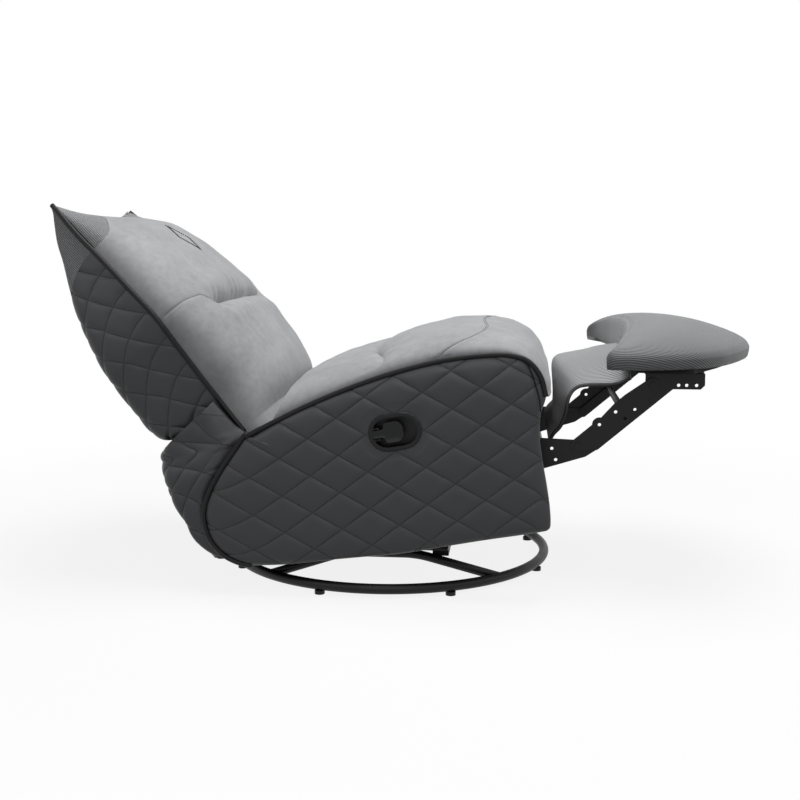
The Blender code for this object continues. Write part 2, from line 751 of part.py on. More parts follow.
def riveted(plate, side, own, other, places, radius=RIVET_RADIUS, near_head=True, far_head=False):
    """Joins a pin to a plate at each place, through the next layer, with a head at either end."""
    step = other - own
    pitch = PLATE_THICKNESS + PLATE_GAP
    near = LINK_PLANE_X + own * pitch - step * PLATE_THICKNESS / 2
    far = LINK_PLANE_X + other * pitch + step * PLATE_THICKNESS / 2
    stations = [(near + step * RUN_GAP, radius)]
    if near_head:
        sunk = near + step * PLATE_THICKNESS / 4
        head = near - step * RIVET_HEAD_HEIGHT
        stations = [(head, radius * HEAD_RATIO), (sunk, radius * HEAD_RATIO), (sunk, radius)]
    if far_head:
        start = far + step * RUN_GAP
        end = start + step * RIVET_HEAD_HEIGHT
        stations += [(start, radius), (start, radius * HEAD_RATIO), (end, radius * HEAD_RATIO)]
    else:
        stations += [(far - step * RUN_GAP, radius)]
    for index, (y, z) in enumerate(places):
        rings = [
            circle(Vector((side * x, y, z)), Vector((0, 1, 0)), Vector((0, 0, 1)), r, HOLE_SIDES)
            for x, r in stations
        ]
        name = f"{plate.name}_rivet_{index + 1}"
        cut(plate, add_cutter(name, lofted(rings), plate.parent), "UNION")
    return plate


def moved(place, offset):
    """A (y, z) place moved by an offset."""
    return (place[0] + offset[0], place[1] + offset[1])


def on_line(start, end, share, offset=0.0):
    """A (y, z) point at a share of the way between two, moved off the line to its left."""
    (y0, z0), (y1, z1) = start, end
    length = math.hypot(y1 - y0, z1 - z0)
    left = (-(z1 - z0) / length, (y1 - y0) / length)
    return (y0 + (y1 - y0) * share + left[0] * offset, z0 + (z1 - z0) * share + left[1] * offset)


def build_mechanism(seat):
    """The side plates, the cross tubes under them and the hangers that rock on the stands."""
    tube_above = -MECH_HALF_HEIGHT - TIE_TUBE_RADIUS - TOUCH_GAP
    inner = plate_span(1, -1)[1]
    for along, word in ((FRONT_PIVOT_Y * -1 - HANGER_TOP_LENGTH / 2 + TIE_TUBE_RADIUS, "front"),
                        (FRONT_PIVOT_Y * -1 + HANGER_TOP_LENGTH / 2 - TIE_TUBE_RADIUS, "rear")):
        y, z = deck_point(along, tube_above)
        tube = bar((-inner, y, z), (inner, y, z), TIE_TUBE_RADIUS)
        add_part(f"cross_tube_{word}", tube, "satin_black_steel", seat)
    for side, word in ((-1, "right"), (1, "left")):
        outline = hull_of_circles((
            (deck_point(0.0, 0.0), MECH_HALF_HEIGHT),
            (deck_point(MECH_LENGTH, 0.0), MECH_HALF_HEIGHT),
        ))
        holes = [(deck_point(0.0, 0.0), SHAFT_RADIUS + RUN_GAP)]
        holes += [(deck_point(MECH_LENGTH, 0.0), RIVET_RADIUS + RUN_GAP)]
        holes += [(deck_point(MECH_LENGTH * share, 0.0), HOLE_RADIUS) for share in (0.3, 0.7)]
        drilled(f"mechanism_plate_{word}", outline, side, -1, holes, seat)
        build_hanger(side, word, tube_above, seat)


def build_hanger(side, word, tube_above, seat):
    """One plate that carries the seat: pinned to its stand below, under the cross tubes above."""
    top = tube_above - TIE_TUBE_RADIUS - TOUCH_GAP
    middle = -FRONT_PIVOT_Y
    half = HANGER_TOP_LENGTH / 2
    eye = STAND_TOP_RADIUS * 0.8
    left = deck_point(middle - half, top)
    right = deck_point(middle + half, top)
    outline = [right, left]
    outline += arc((0.0, ROCK_HEIGHT), eye, math.pi, 2.0 * math.pi)
    inside = STAND_X + STAND_THICKNESS / 2 + PLATE_GAP
    low_x, high_x = sorted((side * inside, side * (inside + HANGER_THICKNESS)))
    hanger = prism(outline, low_x, high_x)
    hanger = add_part(f"rocker_hanger_{word}", hanger, "satin_black_steel", seat, smooth=False)
    start = side * (inside + HANGER_THICKNESS / 2)
    end = side * (STAND_X - STAND_THICKNESS / 2 - RUN_GAP)
    pin = bar((start, 0.0, ROCK_HEIGHT), (end, 0.0, ROCK_HEIGHT), ROCK_PIN_RADIUS)
    cut(hanger, add_cutter(f"rocker_pin_{word}", pin, seat), "UNION")


def side_outline(shrink=1.0):
    """The side panel's outline, drawn towards its centre by a share."""
    shares = PIPING_SHARES[::-1] + REAR_SHARES + BOTTOM_SHARES + FRONT_SHARES
    cy, cz = body_point(PANEL_CENTRE_SHARES)
    points = [body_point(share) for share in shares]
    return [(cy + (y - cy) * shrink, cz + (z - cz) * shrink) for y, z in points]


def build_side_panels(seat):
    """The padded side panels, the right one with a pocket for the release lever."""
    panels = {}
    layers = (
        (PANEL_INSIDE, 0.985), (PANEL_EDGE, 1.0), (PANEL_EDGE + PANEL_BULGE * 0.55, 0.965),
        (PANEL_EDGE + PANEL_BULGE * 0.86, 0.87), (PANEL_EDGE + PANEL_BULGE, 0.66),
        (PANEL_EDGE + PANEL_BULGE, 0.35),
    )
    for side, word in ((-1, "right"), (1, "left")):
        rings = [
            [Vector((side * x, y, z)) for y, z in side_outline(shrink * PANEL_SHRINK_SHARE)]
            for x, shrink in layers
        ]
        name = f"side_panel_{word}"
        panels[word] = add_part(name, lofted(rings), "charcoal_leather", seat)
    return panels


def crown_height(share, power=CROWN_POWER):
    """How much of the crown is reached at a share of the half width."""
    return max(0.0, 1.0 - abs(share) ** power) ** (1.0 / power)


def clear_of_back(point):
    """Moves a point out of the hollow that the back's foot turns in."""
    y, z = hinge_place()
    away = Vector((point.y - y, point.z - z))
    if away.length >= SEAT_HOLLOW_RADIUS:
        return point
    away = away.normalized() * SEAT_HOLLOW_RADIUS
    return Vector((point.x, y + away.x, z + away.y))


def build_seat(seat):
    """The seat cushion, crowned and tufted, on its deck and the two rails across the body."""
    stations = 2
    edges = (CUSHION_REAR_SHARE, *PIPING_SHARES[1:])
    piping = smooth_through([(*body_point(share), 0.0) for share in edges], stations)
    crown = smooth_through([(*body_point(share), 0.0) for share in CROWN_SHARES], stations)
    top, bottom = [], []
    tuft_y = TUFT_AT_SHARE * BODY_LENGTH - BODY_FRONT
    for edge, middle in zip(piping, crown):
        upper, lower = [], []
        for across in ACROSS_SHARES:
            rise = crown_height(across)
            y = edge.x + (middle.x - edge.x) * rise
            z = edge.y + (middle.y - edge.y) * rise
            tuft = TUFT_DEPTH * math.exp(-(((y - tuft_y) / TUFT_WIDTH) ** 2) * 4.0)
            z -= tuft * math.cos(across * math.pi / 2) if abs(across) < 1.0 else 0.0
            point = clear_of_back(Vector((across * SEAT_HALF_WIDTH, y, z)))
            upper.append(point)
            lower.append(seat_underside(point, edge, across))
        top.append(upper)
        bottom.append(lower)
    add_part("seat_cushion", two_sided(top, bottom), "grey_suede_cloth", seat)
    deck = sloped_block(
        DECK_FROM, MECH_LENGTH - DECK_INSET - DECK_FROM, DECK_ABOVE, DECK_ABOVE + DECK_THICKNESS,
        PANEL_INSIDE - TOUCH_GAP * 2,
    )
    add_part("seat_deck", deck, "plywood", seat, smooth=False)
    for along, word in ((FRONT_RAIL_AT, "front"), (MECH_LENGTH - REAR_RAIL_INSET, "rear")):
        low = MECH_HALF_HEIGHT + TOUCH_GAP
        rail = sloped_block(
            along, CROSS_RAIL_WIDTH, low, low + CROSS_RAIL_HEIGHT, PANEL_INSIDE - TOUCH_GAP * 2
        )
        add_part(f"seat_rail_{word}", rail, "satin_black_steel", seat, smooth=False)


def seat_underside(point, edge, across):
    """The cushion's lower face: over the side panels near its edges, down to the deck between."""
    over_panel = Vector((point.x, edge.x, edge.y - SOFT_GAP * 2))
    if abs(across) > BELLY_SHARE:
        rise = crown_height(across) * 0.5
        y = edge.x + (point.y - edge.x) * rise
        z = edge.y + (point.z - edge.y) * rise - SOFT_GAP * 2
        return clear_of_back(Vector((point.x, y, z))) if abs(across) < 1.0 else over_panel
    front_edge = -BODY_FRONT + SEAT_FRONT_DROP
    y = max(point.y, front_edge) if point.y > front_edge else point.y
    along = (y - FRONT_PIVOT_Y) / math.cos(DECK_SLOPE)
    floor_z = deck_point(along, BELLY_ABOVE)[1]
    lift = max(0.0, (FRONT_PIVOT_Y - y) / (BODY_FRONT + FRONT_PIVOT_Y))
    z = floor_z + lift * SEAT_FRONT_DROP
    z = min(z, point.z - SOFT_GAP * 4)
    return clear_of_back(Vector((point.x, y, z)))


def back_half_width(along):
    """The back's half width at the piping, from its narrow foot to the ears."""
    share = along / BACK_LENGTH
    grown = BACK_FOOT_HALF_WIDTH + (BACK_HALF_WIDTH - BACK_FOOT_HALF_WIDTH) * at_share(
        BACK_WIDTH_SHARES, share
    )
    if share <= EAR_START_SHARE:
        return grown
    narrowing = ((share - EAR_START_SHARE) / (1.0 - EAR_START_SHARE)) ** 1.4
    return BACK_HALF_WIDTH + (EAR_HALF_WIDTH - BACK_HALF_WIDTH) * narrowing


def within_foot(point):
    """Draws a point of the back's foot in to the round that turns in the seat's hollow."""
    y, z = hinge_place()
    away = Vector((point.y - y, point.z - z))
    if away.length <= BACK_END_RADIUS:
        return point
    lean = Vector((math.sin(BACK_LEAN), math.cos(BACK_LEAN)))
    if away.dot(lean) > 0.0:
        return point
    away = away.normalized() * BACK_END_RADIUS
    return Vector((point.x, y + away.x, z + away.y))


def pillow(name, profile, steps, back):
    """One of the back's two pillows: profile holds (share of the length, share of the crown)."""
    rows = smooth_through([(a, b, 0.0) for a, b in profile], steps)
    first, last = rows[0].x, rows[-1].x
    top, bottom = [], []
    for row in rows:
        along = row.x * BACK_LENGTH
        half = back_half_width(along)
        upper, lower = [], []
        for across in ACROSS_SHARES:
            rise = crown_height(across)
            dip = EAR_DIP * max(0.0, (row.x - 0.8) / 0.2) * (1.0 - across * across)
            ahead = BACK_CROWN * row.y * rise
            point = back_point(across * half, along - dip, -ahead - SOFT_GAP * 3)
            upper.append(within_foot(point))
            under = back_point(across * half, along - dip, -TOUCH_GAP)
            lower.append(within_foot(under))
        top.append(upper)
        bottom.append(lower)
    return add_part(name, two_sided(top, bottom), "grey_suede_cloth", back)


def build_shell(back):
    """The quilted band and rear of the back, deep at the foot and thin at the ears."""
    rows = smooth_through([(a, b, 0.0) for a, b in SHELL_DEPTH_SHARES], 1)
    rings = []
    for row in rows:
        along = row.x * BACK_LENGTH
        half = back_half_width(along)
        depth = max(BACK_DEPTH * row.y, SOFT_GAP * 2)
        dip = EAR_DIP * max(0.0, (row.x - 0.8) / 0.2)
        section = (
            (-1.0, 0.0, 0.0), (-1.0, 0.4, 0.0), (-0.995, 0.75, 0.0), (-0.97, 0.95, 0.0),
            (-0.90, 1.02, 0.0), (-0.4, 1.03, 1.0), (0.0, 1.03, 1.0), (0.4, 1.03, 1.0),
            (0.90, 1.02, 0.0), (0.97, 0.95, 0.0), (0.995, 0.75, 0.0), (1.0, 0.4, 0.0),
            (1.0, 0.0, 0.0), (0.4, 0.0, 1.0), (-0.4, 0.0, 1.0),
        )
        rings.append([
            back_point(half * a, along - dip * c * 0.8, depth * b) for a, b, c in section
        ])
    return add_part("back_shell", lofted(rings), "charcoal_leather", back)


def build_back(seat):
    """The back with its hinge brackets, and the arms on the seat that it turns on."""
    hinge = hinge_place()
    back = add_empty("back_hinge_axis", (0.0, *hinge), seat)
    build_shell(back)
    lumbar = pillow("lumbar_cushion", BACK_CROWN_SHARES, 2, back)
    pillow("headrest_cushion", HEAD_CROWN_SHARES, 2, back)
    reach = BACK_LENGTH * BRACKET_REACH_SHARE
    strip = HINGE_EYE_RADIUS * 0.6
    far_eye = back_point(0.0, reach, -strip - TOUCH_GAP)
    arm_foot = deck_point(MECH_LENGTH, 0.0)
    slots = bmesh.new()
    for side, word in ((-1, "right"), (1, "left")):
        outline = hull_of_circles(((hinge, HINGE_EYE_RADIUS), ((far_eye.y, far_eye.z), strip)))
        holes = [((far_eye.y, far_eye.z), HOLE_RADIUS)]
        bracket = drilled(f"back_bracket_{word}", outline, side, -1, holes, back)
        riveted(bracket, side, -1, 0, [hinge], HINGE_PIN_RADIUS)
        outline = hull_of_circles((
            (arm_foot, HINGE_EYE_RADIUS * 0.8), (hinge, HINGE_EYE_RADIUS),
        ))
        holes = [(hinge, HINGE_PIN_RADIUS + RUN_GAP)]
        arm = drilled(f"recline_arm_{word}", outline, side, 0, holes, seat)
        riveted(arm, side, 0, -1, [arm_foot])
        hinge_slot(slots, side, hinge, far_eye, arm_foot)
    cut(lumbar, add_cutter("lumbar_slots", slots, back))
    return back


def hinge_slot(slots, side, hinge, far_eye, arm_foot):
    """Adds the space that a bracket and an arm need inside the lumbar pillow as the back turns."""
    low_x = min(plate_span(side, -1)[0], plate_span(side, 0)[0]) - SLOT_CLEARANCE
    high_x = max(plate_span(side, -1)[1], plate_span(side, 0)[1]) + SLOT_CLEARANCE
    down = math.atan2(arm_foot[1] - hinge[1], arm_foot[0] - hinge[0])
    turned_down = down - RECLINE
    reach = BACK_END_RADIUS + OVERRUN
    eye = HINGE_EYE_RADIUS + SLOT_CLEARANCE
    open_end = HINGE_EYE_RADIUS + SOFT_GAP
    ends = [
        ((hinge[0] + reach * math.cos(t), hinge[1] + reach * math.sin(t)), open_end)
        for t in (turned_down, down)
    ]
    rear = ((far_eye.y, far_eye.z), HINGE_EYE_RADIUS)
    outline = hull_of_circles((*ends, rear, (hinge, eye)))
    ring_faces(slots, [[Vector((x, y, z)) for y, z in outline] for x in (low_x, high_x)])


def build_skirt(seat):
    """The quilted skirt that closes the body behind the seat, from one panel to the other."""
    rear = smooth_through([(*body_point(s), 0.0) for s in SKIRT_REAR_SHARES], 1)
    front = smooth_through([(*body_point(s), 0.0) for s in SKIRT_FRONT_SHARES], 1)
    columns = 16
    outer, inner = [], []
    for start, end, flare in zip(front, rear, SKIRT_WIDTH_SHARES):
        half = PANEL_INSIDE - TOUCH_GAP + SKIRT_FLARE * flare
        out_row, in_row = [], []
        for index in range(columns + 1):
            turn = math.pi * index / columns
            across = -math.copysign(abs(math.cos(turn)) ** SKIRT_CORNER_SHARE, math.cos(turn))
            depth = math.sin(turn) ** SKIRT_CORNER_SHARE if 0 < index < columns else 0.0
            point = start.lerp(end, depth)
            out_row.append(Vector((across * half, point.x, point.y)))
            inset = half - SKIRT_THICKNESS
            back_off = SKIRT_THICKNESS * depth
            in_row.append(Vector((across * inset, point.x - back_off, point.y + back_off * 0.3)))
        outer.append(out_row)
        inner.append(in_row)
    return add_part("rear_skirt", two_sided(outer, inner), "charcoal_leather", seat)


def stadium(length, height, inset=0.0):
    """(along, up) points of a long round-ended outline about its own centre."""
    radius = height / 2 - inset
    reach = length / 2 - height / 2
    points = [(reach + y, z) for y, z in arc((0.0, 0.0), radius, -math.pi / 2, math.pi / 2, 8)]
    points += [(y - reach, z) for y, z in arc((0.0, 0.0), radius, math.pi / 2, 1.5 * math.pi, 8)]
    return points


def lever_point(x, along, up):
    """A point on the lever's tilted face: along runs to the front of the chair."""
    y = LEVER_Y - along * math.cos(LEVER_TILT) + up * math.sin(LEVER_TILT)
    z = LEVER_Z + along * math.sin(LEVER_TILT) + up * math.cos(LEVER_TILT)
    return Vector((x, y, z))


def lever_prism(outline, low_x, high_x):
    """An outline on the lever's face drawn out along X."""
    return lofted([[lever_point(x, a, u) for a, u in outline] for x in (low_x, high_x)])


def build_lever(seat, panel):
    """The moulded cup with its bezel, and the paddle that is pulled out of it."""
    face = -(PANEL_EDGE + PANEL_BULGE)
    proud = face - BEZEL_PROUD
    floor_x = face + CUP_DEPTH
    pocket = lever_prism(
        stadium(BEZEL_LENGTH - BEZEL_RIM, BEZEL_HEIGHT - BEZEL_RIM), face - OVERRUN,
        floor_x + CUP_WALL + SOFT_GAP,
    )
    cut(panel, add_cutter("lever_pocket", pocket, seat))
    inset = BEZEL_RIM / 2 + SOFT_GAP
    hollow = BEZEL_RIM / 2 + SOFT_GAP + CUP_WALL
    rings = [
        (floor_x + CUP_WALL, inset), (face - TOUCH_GAP * 2, inset), (face - TOUCH_GAP * 2, 0.0),
        (face - BEZEL_PROUD / 2, 0.0), (proud, BEZEL_PROUD / 2), (proud, hollow),
        (floor_x, hollow),
    ]
    cup = lofted([
        [lever_point(x, a, u) for a, u in stadium(BEZEL_LENGTH, BEZEL_HEIGHT, edge)]
        for x, edge in rings
    ])
    cup = add_part("lever_cup", cup, "black_plastic", seat)
    hinge_along = -BEZEL_LENGTH / 2 + hollow + LEVER_PIN_RADIUS * 3
    hinge_x = proud + PADDLE_THICKNESS / 2
    axis_place = lever_point(hinge_x, hinge_along, 0.0)
    lever = add_empty("lever_axis", axis_place, seat)
    stem_end = hinge_along + STEM_LENGTH
    head_end = stem_end + HEAD_LENGTH
    start = hinge_along - LEVER_PIN_RADIUS
    half, wide = STEM_WIDTH / 2, HEAD_WIDTH / 2
    outline = (
        (start, -half), (stem_end, -half), (stem_end, -wide), (head_end, -wide * 0.9),
        (head_end, wide * 0.9), (stem_end, wide), (stem_end, half), (start, half),
    )
    paddle = lever_prism(outline, proud, proud + PADDLE_THICKNESS)
    paddle = add_part("release_lever", paddle, "black_plastic", lever, smooth=False)
    reach = half + CUP_WALL
    pin_x = proud + PADDLE_THICKNESS / 2
    pin = bar(
        lever_point(pin_x, hinge_along, -reach), lever_point(pin_x, hinge_along, reach),
        LEVER_PIN_RADIUS,
    )
    cut(paddle, add_cutter("lever_pin", pin, lever), "UNION")
    build_lever_ears(cup, hinge_along, pin_x, half, floor_x, proud, seat)


def build_lever_ears(cup, hinge_along, pin_x, half, floor_x, proud, seat):
    """Two ears inside the cup that hold the ends of the lever's pin."""
    for side, word in ((-1, "lower"), (1, "upper")):
        low, high = sorted((side * (half + RUN_GAP * 2), side * (half + CUP_WALL * 2)))
        reach = LEVER_PIN_RADIUS * 2.2
        outline = (
            (hinge_along - reach, low), (hinge_along + reach, low),
            (hinge_along + reach, high), (hinge_along - reach, high),
        )
        ear = lever_prism(outline, proud + PLATE_GAP, floor_x + CUP_WALL / 2)
        cut(cup, add_cutter(f"lever_ear_{word}", ear, seat), "UNION")
    ends = half + CUP_WALL + PLATE_GAP
    bore = bar(
        lever_point(pin_x, hinge_along, -ends), lever_point(pin_x, hinge_along, ends),
        LEVER_PIN_RADIUS + RUN_GAP,
    )
    cut(cup, add_cutter("lever_pin_bore", bore, seat))


def build_footrest(seat):
    """The linkage on both sides, its shaft and spreader, and the padded footrest on top."""
    lower = add_empty("lower_link_axis", (0.0, *PLACES["pivot"]), seat)
    upper = add_empty("upper_link_axis", (0.0, *PLACES["elbow"]), lower)
    rear = add_empty("rear_link_axis", (0.0, *PLACES["rear_elbow"]), lower)
    rest = add_empty("footrest_axis", (0.0, *PLACES["knee"]), upper)
    shaft_end = plate_span(1, 1)[1]
    y, z = PLACES["pivot"]
    shaft = bar((-shaft_end, y, z), (shaft_end, y, z), SHAFT_RADIUS)
    add_part("footrest_shaft", shaft, "zinc_steel", lower)
    y, z = PLACES["spreader"]
    spread_end = plate_span(1, -1)[0] - TOUCH_GAP
    spreader = bar((-spread_end, y, z), (spread_end, y, z), SPREADER_RADIUS)
    add_part("footrest_spreader", spreader, "satin_black_steel", rear)
    for side, word in ((-1, "right"), (1, "left")):
        build_lower_link(side, word, lower)
        build_upper_link(side, word, upper)
        build_rear_link(side, word, rear)
        build_rest_bracket(side, word, rest)
    build_board_and_pad(rest)


def build_lower_link(side, word, lower):
    """The wide plate that turns on the shaft and carries both upper links."""
    pivot, rear_elbow, elbow = PLACES["pivot"], PLACES["rear_elbow"], PLACES["elbow"]
    belly, toe = (moved(pivot, offset) for offset in (LOWER_LINK_BELLY, LOWER_LINK_TOE))
    outline = hull_of_circles((
        (pivot, LOWER_LINK_EYE_RADIUS), (belly, LOWER_LINK_BELLY_RADIUS),
        (toe, LOWER_LINK_TIP_RADIUS), (rear_elbow, LOWER_LINK_TIP_RADIUS),
    ))
    holes = [(pivot, SHAFT_RADIUS + TOUCH_GAP)]
    holes += [(elbow, RIVET_RADIUS + RUN_GAP), (rear_elbow, RIVET_RADIUS + RUN_GAP)]
    holes += [(moved(pivot, offset), HOLE_RADIUS) for offset in LOWER_LINK_HOLES]
    drilled(f"lower_link_{word}", outline, side, 0, holes, lower)


def build_upper_link(side, word, upper):
    """The long outer link, with a drilled lug on its upper edge."""
    elbow, knee, lug = PLACES["elbow"], PLACES["knee"], PLACES["lug"]
    outline = link_outline(elbow, knee)
    holes = [(lug, HOLE_RADIUS)]
    holes += [
        (on_line(elbow, knee, share, offset), HOLE_RADIUS) for share, offset in LINK_TWO_HOLES
    ]
    link = drilled(f"upper_link_{word}", outline, side, 1, holes, upper)
    riveted(link, side, 1, 0, [elbow, knee])


def link_outline(elbow, knee):
    """A round-ended plate with a lug and a hump above, and a wide skirt along its lower side."""
    length = math.hypot(knee[0] - elbow[0], knee[1] - elbow[1])
    half, quarter = LINK_TWO_HALF_WIDTH, math.pi / 2
    start, end = LINK_TWO_SKIRT_SPAN
    rise = math.asin((half - LUG_OFFSET) / half)
    local = arc((0.0, 0.0), half, quarter, 3 * quarter)
    local += arc((LUG_ALONG, -LUG_OFFSET), half, rise - math.pi, -rise)
    local += [(length * share, -half - LINK_TWO_HUMP) for share in (0.58, 0.72)]
    local += arc((length, 0.0), half, -quarter, quarter)
    local += [(end + half / 2, half), (end, LINK_TWO_SKIRT), (start, LINK_TWO_SKIRT)]
    return [on_line(elbow, knee, along / length, off) for along, off in local]


def build_rear_link(side, word, rear):
    """The thin inner link that keeps the footrest parallel to the lower link."""
    start, end = PLACES["rear_elbow"], PLACES["rear_knee"]
    outline = hull_of_circles(((start, PARALLEL_HALF_WIDTH), (end, PARALLEL_HALF_WIDTH)))
    holes = [(end, RIVET_RADIUS + PLATE_GAP)]
    holes += [(on_line(start, end, share, off), HOLE_RADIUS) for share, off in REAR_LINK_HOLES]
    link = drilled(f"rear_link_{word}", outline, side, -1, holes, rear)
    riveted(link, side, -1, 0, [start])


def build_rest_bracket(side, word, rest):
    """The drilled angle under the footrest, with two spacers up to the board."""
    y, z = PLACES["knee"]
    back, front = y + BRACKET_BACK, y + BRACKET_BACK - BRACKET_LENGTH
    low, high = z - BRACKET_BELOW, z + BRACKET_ABOVE
    chamfer = BRACKET_BELOW
    outline = (
        (back, low), (back, high), (front, high), (front, low + chamfer), (front + chamfer, low),
    )
    holes = [(PLACES["knee"], RIVET_RADIUS + RUN_GAP)]
    holes += [(moved(PLACES["knee"], (-step, 0.0)), HOLE_RADIUS) for step in BRACKET_HOLES]
    bracket = drilled(f"footrest_bracket_{word}", outline, side, 0, holes, rest)
    riveted(bracket, side, 0, -1, [PLACES["rear_knee"]], near_head=False, far_head=True)
    low_x, high_x = plate_span(side, 0)
    edge = low_x if side > 0 else high_x
    flange = sorted((edge + side * PLATE_THICKNESS / 2, edge - side * FLANGE_WIDTH))
    top = slab((flange[0], front, high - FLANGE_THICKNESS), (flange[1], back, high))
    cut(bracket, add_cutter(f"bracket_flange_{word}", top, rest), "UNION")
    centre_x = edge - side * FLANGE_WIDTH / 2
    for place, name in ((back - SPACER_RADIUS, "rear"), (front + SPACER_RADIUS, "front")):
        spacer = bar(
            (centre_x, place, high - FLANGE_THICKNESS / 2), (centre_x, place, high + SPACER_HEIGHT),
            SPACER_RADIUS, HOLE_SIDES,
        )
        cut(bracket, add_cutter(f"bracket_spacer_{name}_{word}", spacer, rest), "UNION")


def pad_edge(across, inset=0.0):
    """(front y, rear y) of the footrest at a share of its half width: bowed front, winged rear."""
    share = min(1.0, abs(across))
    front = -PAD_FRONT + PAD_FRONT_BOW * at_share(PAD_BOW_SHARES, share) + inset
    rear = -PAD_FRONT + PAD_DEPTH - PAD_HORN * (1.0 - share * share) ** 0.6 - inset
    return front, rear


def build_board_and_pad(rest):
    """The plywood board and the domed pad, shaped like a bat's wings."""
    steps = [index / 12 for index in range(-12, 13)]
    outline = []
    reach = (PAD_HALF_WIDTH - BOARD_INSET) / PAD_HALF_WIDTH
    front = [(a * reach * PAD_HALF_WIDTH, pad_edge(a * reach, BOARD_INSET)[0]) for a in steps]
    rear = [(a * reach * PAD_HALF_WIDTH, pad_edge(a * reach, BOARD_INSET)[1]) for a in steps]
    outline = front + rear[::-1]
    rings = [
        [Vector((x, y, z)) for x, y in outline] for z in (BOARD_Z, BOARD_Z + BOARD_THICKNESS)
    ]
    add_part("footrest_board", lofted(rings), "plywood", rest, smooth=False)
    across_steps = [math.sin(math.pi / 2 * index / 10) for index in range(-10, 11)]
    along_steps = [0.5 - 0.5 * math.cos(math.pi * index / 12) for index in range(13)]
    top, bottom = [], []
    for along in along_steps:
        upper, lower = [], []
        for across in across_steps:
            x = across * PAD_HALF_WIDTH
            near, far = pad_edge(across)
            y = near + (far - near) * along
            inside = crown_height(across, PAD_POWER) * at_share(PAD_CROWN_SHARES, along)
            rim = PAD_RIM_SHARE + (1.0 - PAD_RIM_SHARE) * inside ** 0.5
            upper.append(Vector((x, y, PAD_Z + PAD_EDGE_HEIGHT * rim + PAD_CROWN * inside)))
            drawn = 1.0 - 0.04 * (1.0 - inside ** 0.5)
            middle = (near + far) / 2
            lower.append(Vector((x * drawn, middle + (y - middle) * drawn, PAD_Z)))
        top.append(upper)
        bottom.append(lower)
    add_part("footrest_pad", two_sided(top, bottom), "ribbed_cloth", rest)


def build_flap(seat):
    """The ribbed cloth flap behind the calves, from under the seat front up to the pad."""
    middle = smooth_through([(*body_point(share), 0.0) for share in FLAP_MIDDLE_SHARES], 2)
    edge = smooth_through([(*body_point(share), 0.0) for share in FLAP_EDGE_SHARES], 2)
    columns = 16
    top, bottom = [], []
    for index in range(len(middle)):
        upper, lower = [], []
        for column in range(columns + 1):
            across = 2.0 * column / columns - 1.0
            bend = across * across
            line = [m.lerp(e, bend) for m, e in zip(middle, edge)]
            before, after = line[max(index - 1, 0)], line[min(index + 1, len(line) - 1)]
            along = (after - before).normalized()
            inner = line[index] + Vector((-along.y, along.x, 0.0)) * FLAP_THICKNESS
            half = FLAP_HALF_WIDTH * across
            upper.append(Vector((half, line[index].x, line[index].y)))
            lower.append(Vector((half, inner.x, inner.y)))
        top.append(upper)
        bottom.append(lower)
    return add_part("calf_flap", two_sided(top, bottom), "ribbed_cloth", seat)


def main():
    """Builds the chair, sub-assembly by sub-assembly."""
    clear_scene()
    root = bpy.data.objects.new("recliner", None)
    bpy.context.scene.collection.objects.link(root)
    root.location = (SWIVEL_X, SWIVEL_Y, 0.0)
    bore = build_base(root)
    turntable = build_turntable(root, bore)
    seat = add_empty("rocking_axis", (0.0, 0.0, ROCK_HEIGHT), turntable)
    panels = build_side_panels(seat)
    build_mechanism(seat)
    build_seat(seat)
    build_skirt(seat)
    build_lever(seat, panels["right"])
    build_back(seat)
    build_footrest(seat)
    build_flap(seat)
    bpy.context.view_layer.update()


main()
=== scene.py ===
"""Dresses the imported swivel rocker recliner: cloth, leather, piping, steel and plastic.

Shapes are laid out in metres from the swivel axis on the floor, and moved to the frame's place
last. The sitter faces -Y, and +X is at the sitter's left. The chair lies back, footrest out.
An outline is a row of (y, z) points, and a table named shares holds shares of what it follows.
"""

import json
import logging
import math
from collections.abc import Iterable, Sequence
from dataclasses import dataclass, field
from enum import Enum

import bmesh
import bpy
import numpy as np
from mathutils import Matrix, Vector

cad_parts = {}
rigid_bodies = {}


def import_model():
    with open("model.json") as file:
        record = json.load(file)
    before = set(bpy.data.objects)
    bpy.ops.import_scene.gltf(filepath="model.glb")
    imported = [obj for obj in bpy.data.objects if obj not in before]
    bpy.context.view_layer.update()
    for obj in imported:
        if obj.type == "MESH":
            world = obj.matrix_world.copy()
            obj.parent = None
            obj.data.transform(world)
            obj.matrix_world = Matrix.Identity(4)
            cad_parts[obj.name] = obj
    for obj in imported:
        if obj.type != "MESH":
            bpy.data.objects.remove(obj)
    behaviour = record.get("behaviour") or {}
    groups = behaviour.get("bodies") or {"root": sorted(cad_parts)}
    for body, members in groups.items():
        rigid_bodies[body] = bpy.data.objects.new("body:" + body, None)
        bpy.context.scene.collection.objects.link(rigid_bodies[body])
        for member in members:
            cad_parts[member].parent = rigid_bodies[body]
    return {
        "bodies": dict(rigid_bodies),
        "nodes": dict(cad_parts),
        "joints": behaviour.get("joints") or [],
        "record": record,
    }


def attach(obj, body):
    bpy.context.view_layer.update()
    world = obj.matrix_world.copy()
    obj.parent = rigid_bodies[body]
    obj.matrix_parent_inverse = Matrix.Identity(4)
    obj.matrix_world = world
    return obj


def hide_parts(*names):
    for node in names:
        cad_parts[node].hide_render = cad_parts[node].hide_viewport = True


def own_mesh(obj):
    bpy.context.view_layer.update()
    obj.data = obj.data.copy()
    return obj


log = logging.getLogger("recliner")

Rows = Sequence[Sequence[float]]
Place = tuple[float, float, float]
Range = tuple[float, float]
Tree = bpy.types.NodeTree
Node = bpy.types.Node
Socket = bpy.types.NodeSocket

MM = 0.001
QUILT_UV = "quilt"
WEAVE_UV = "weave"

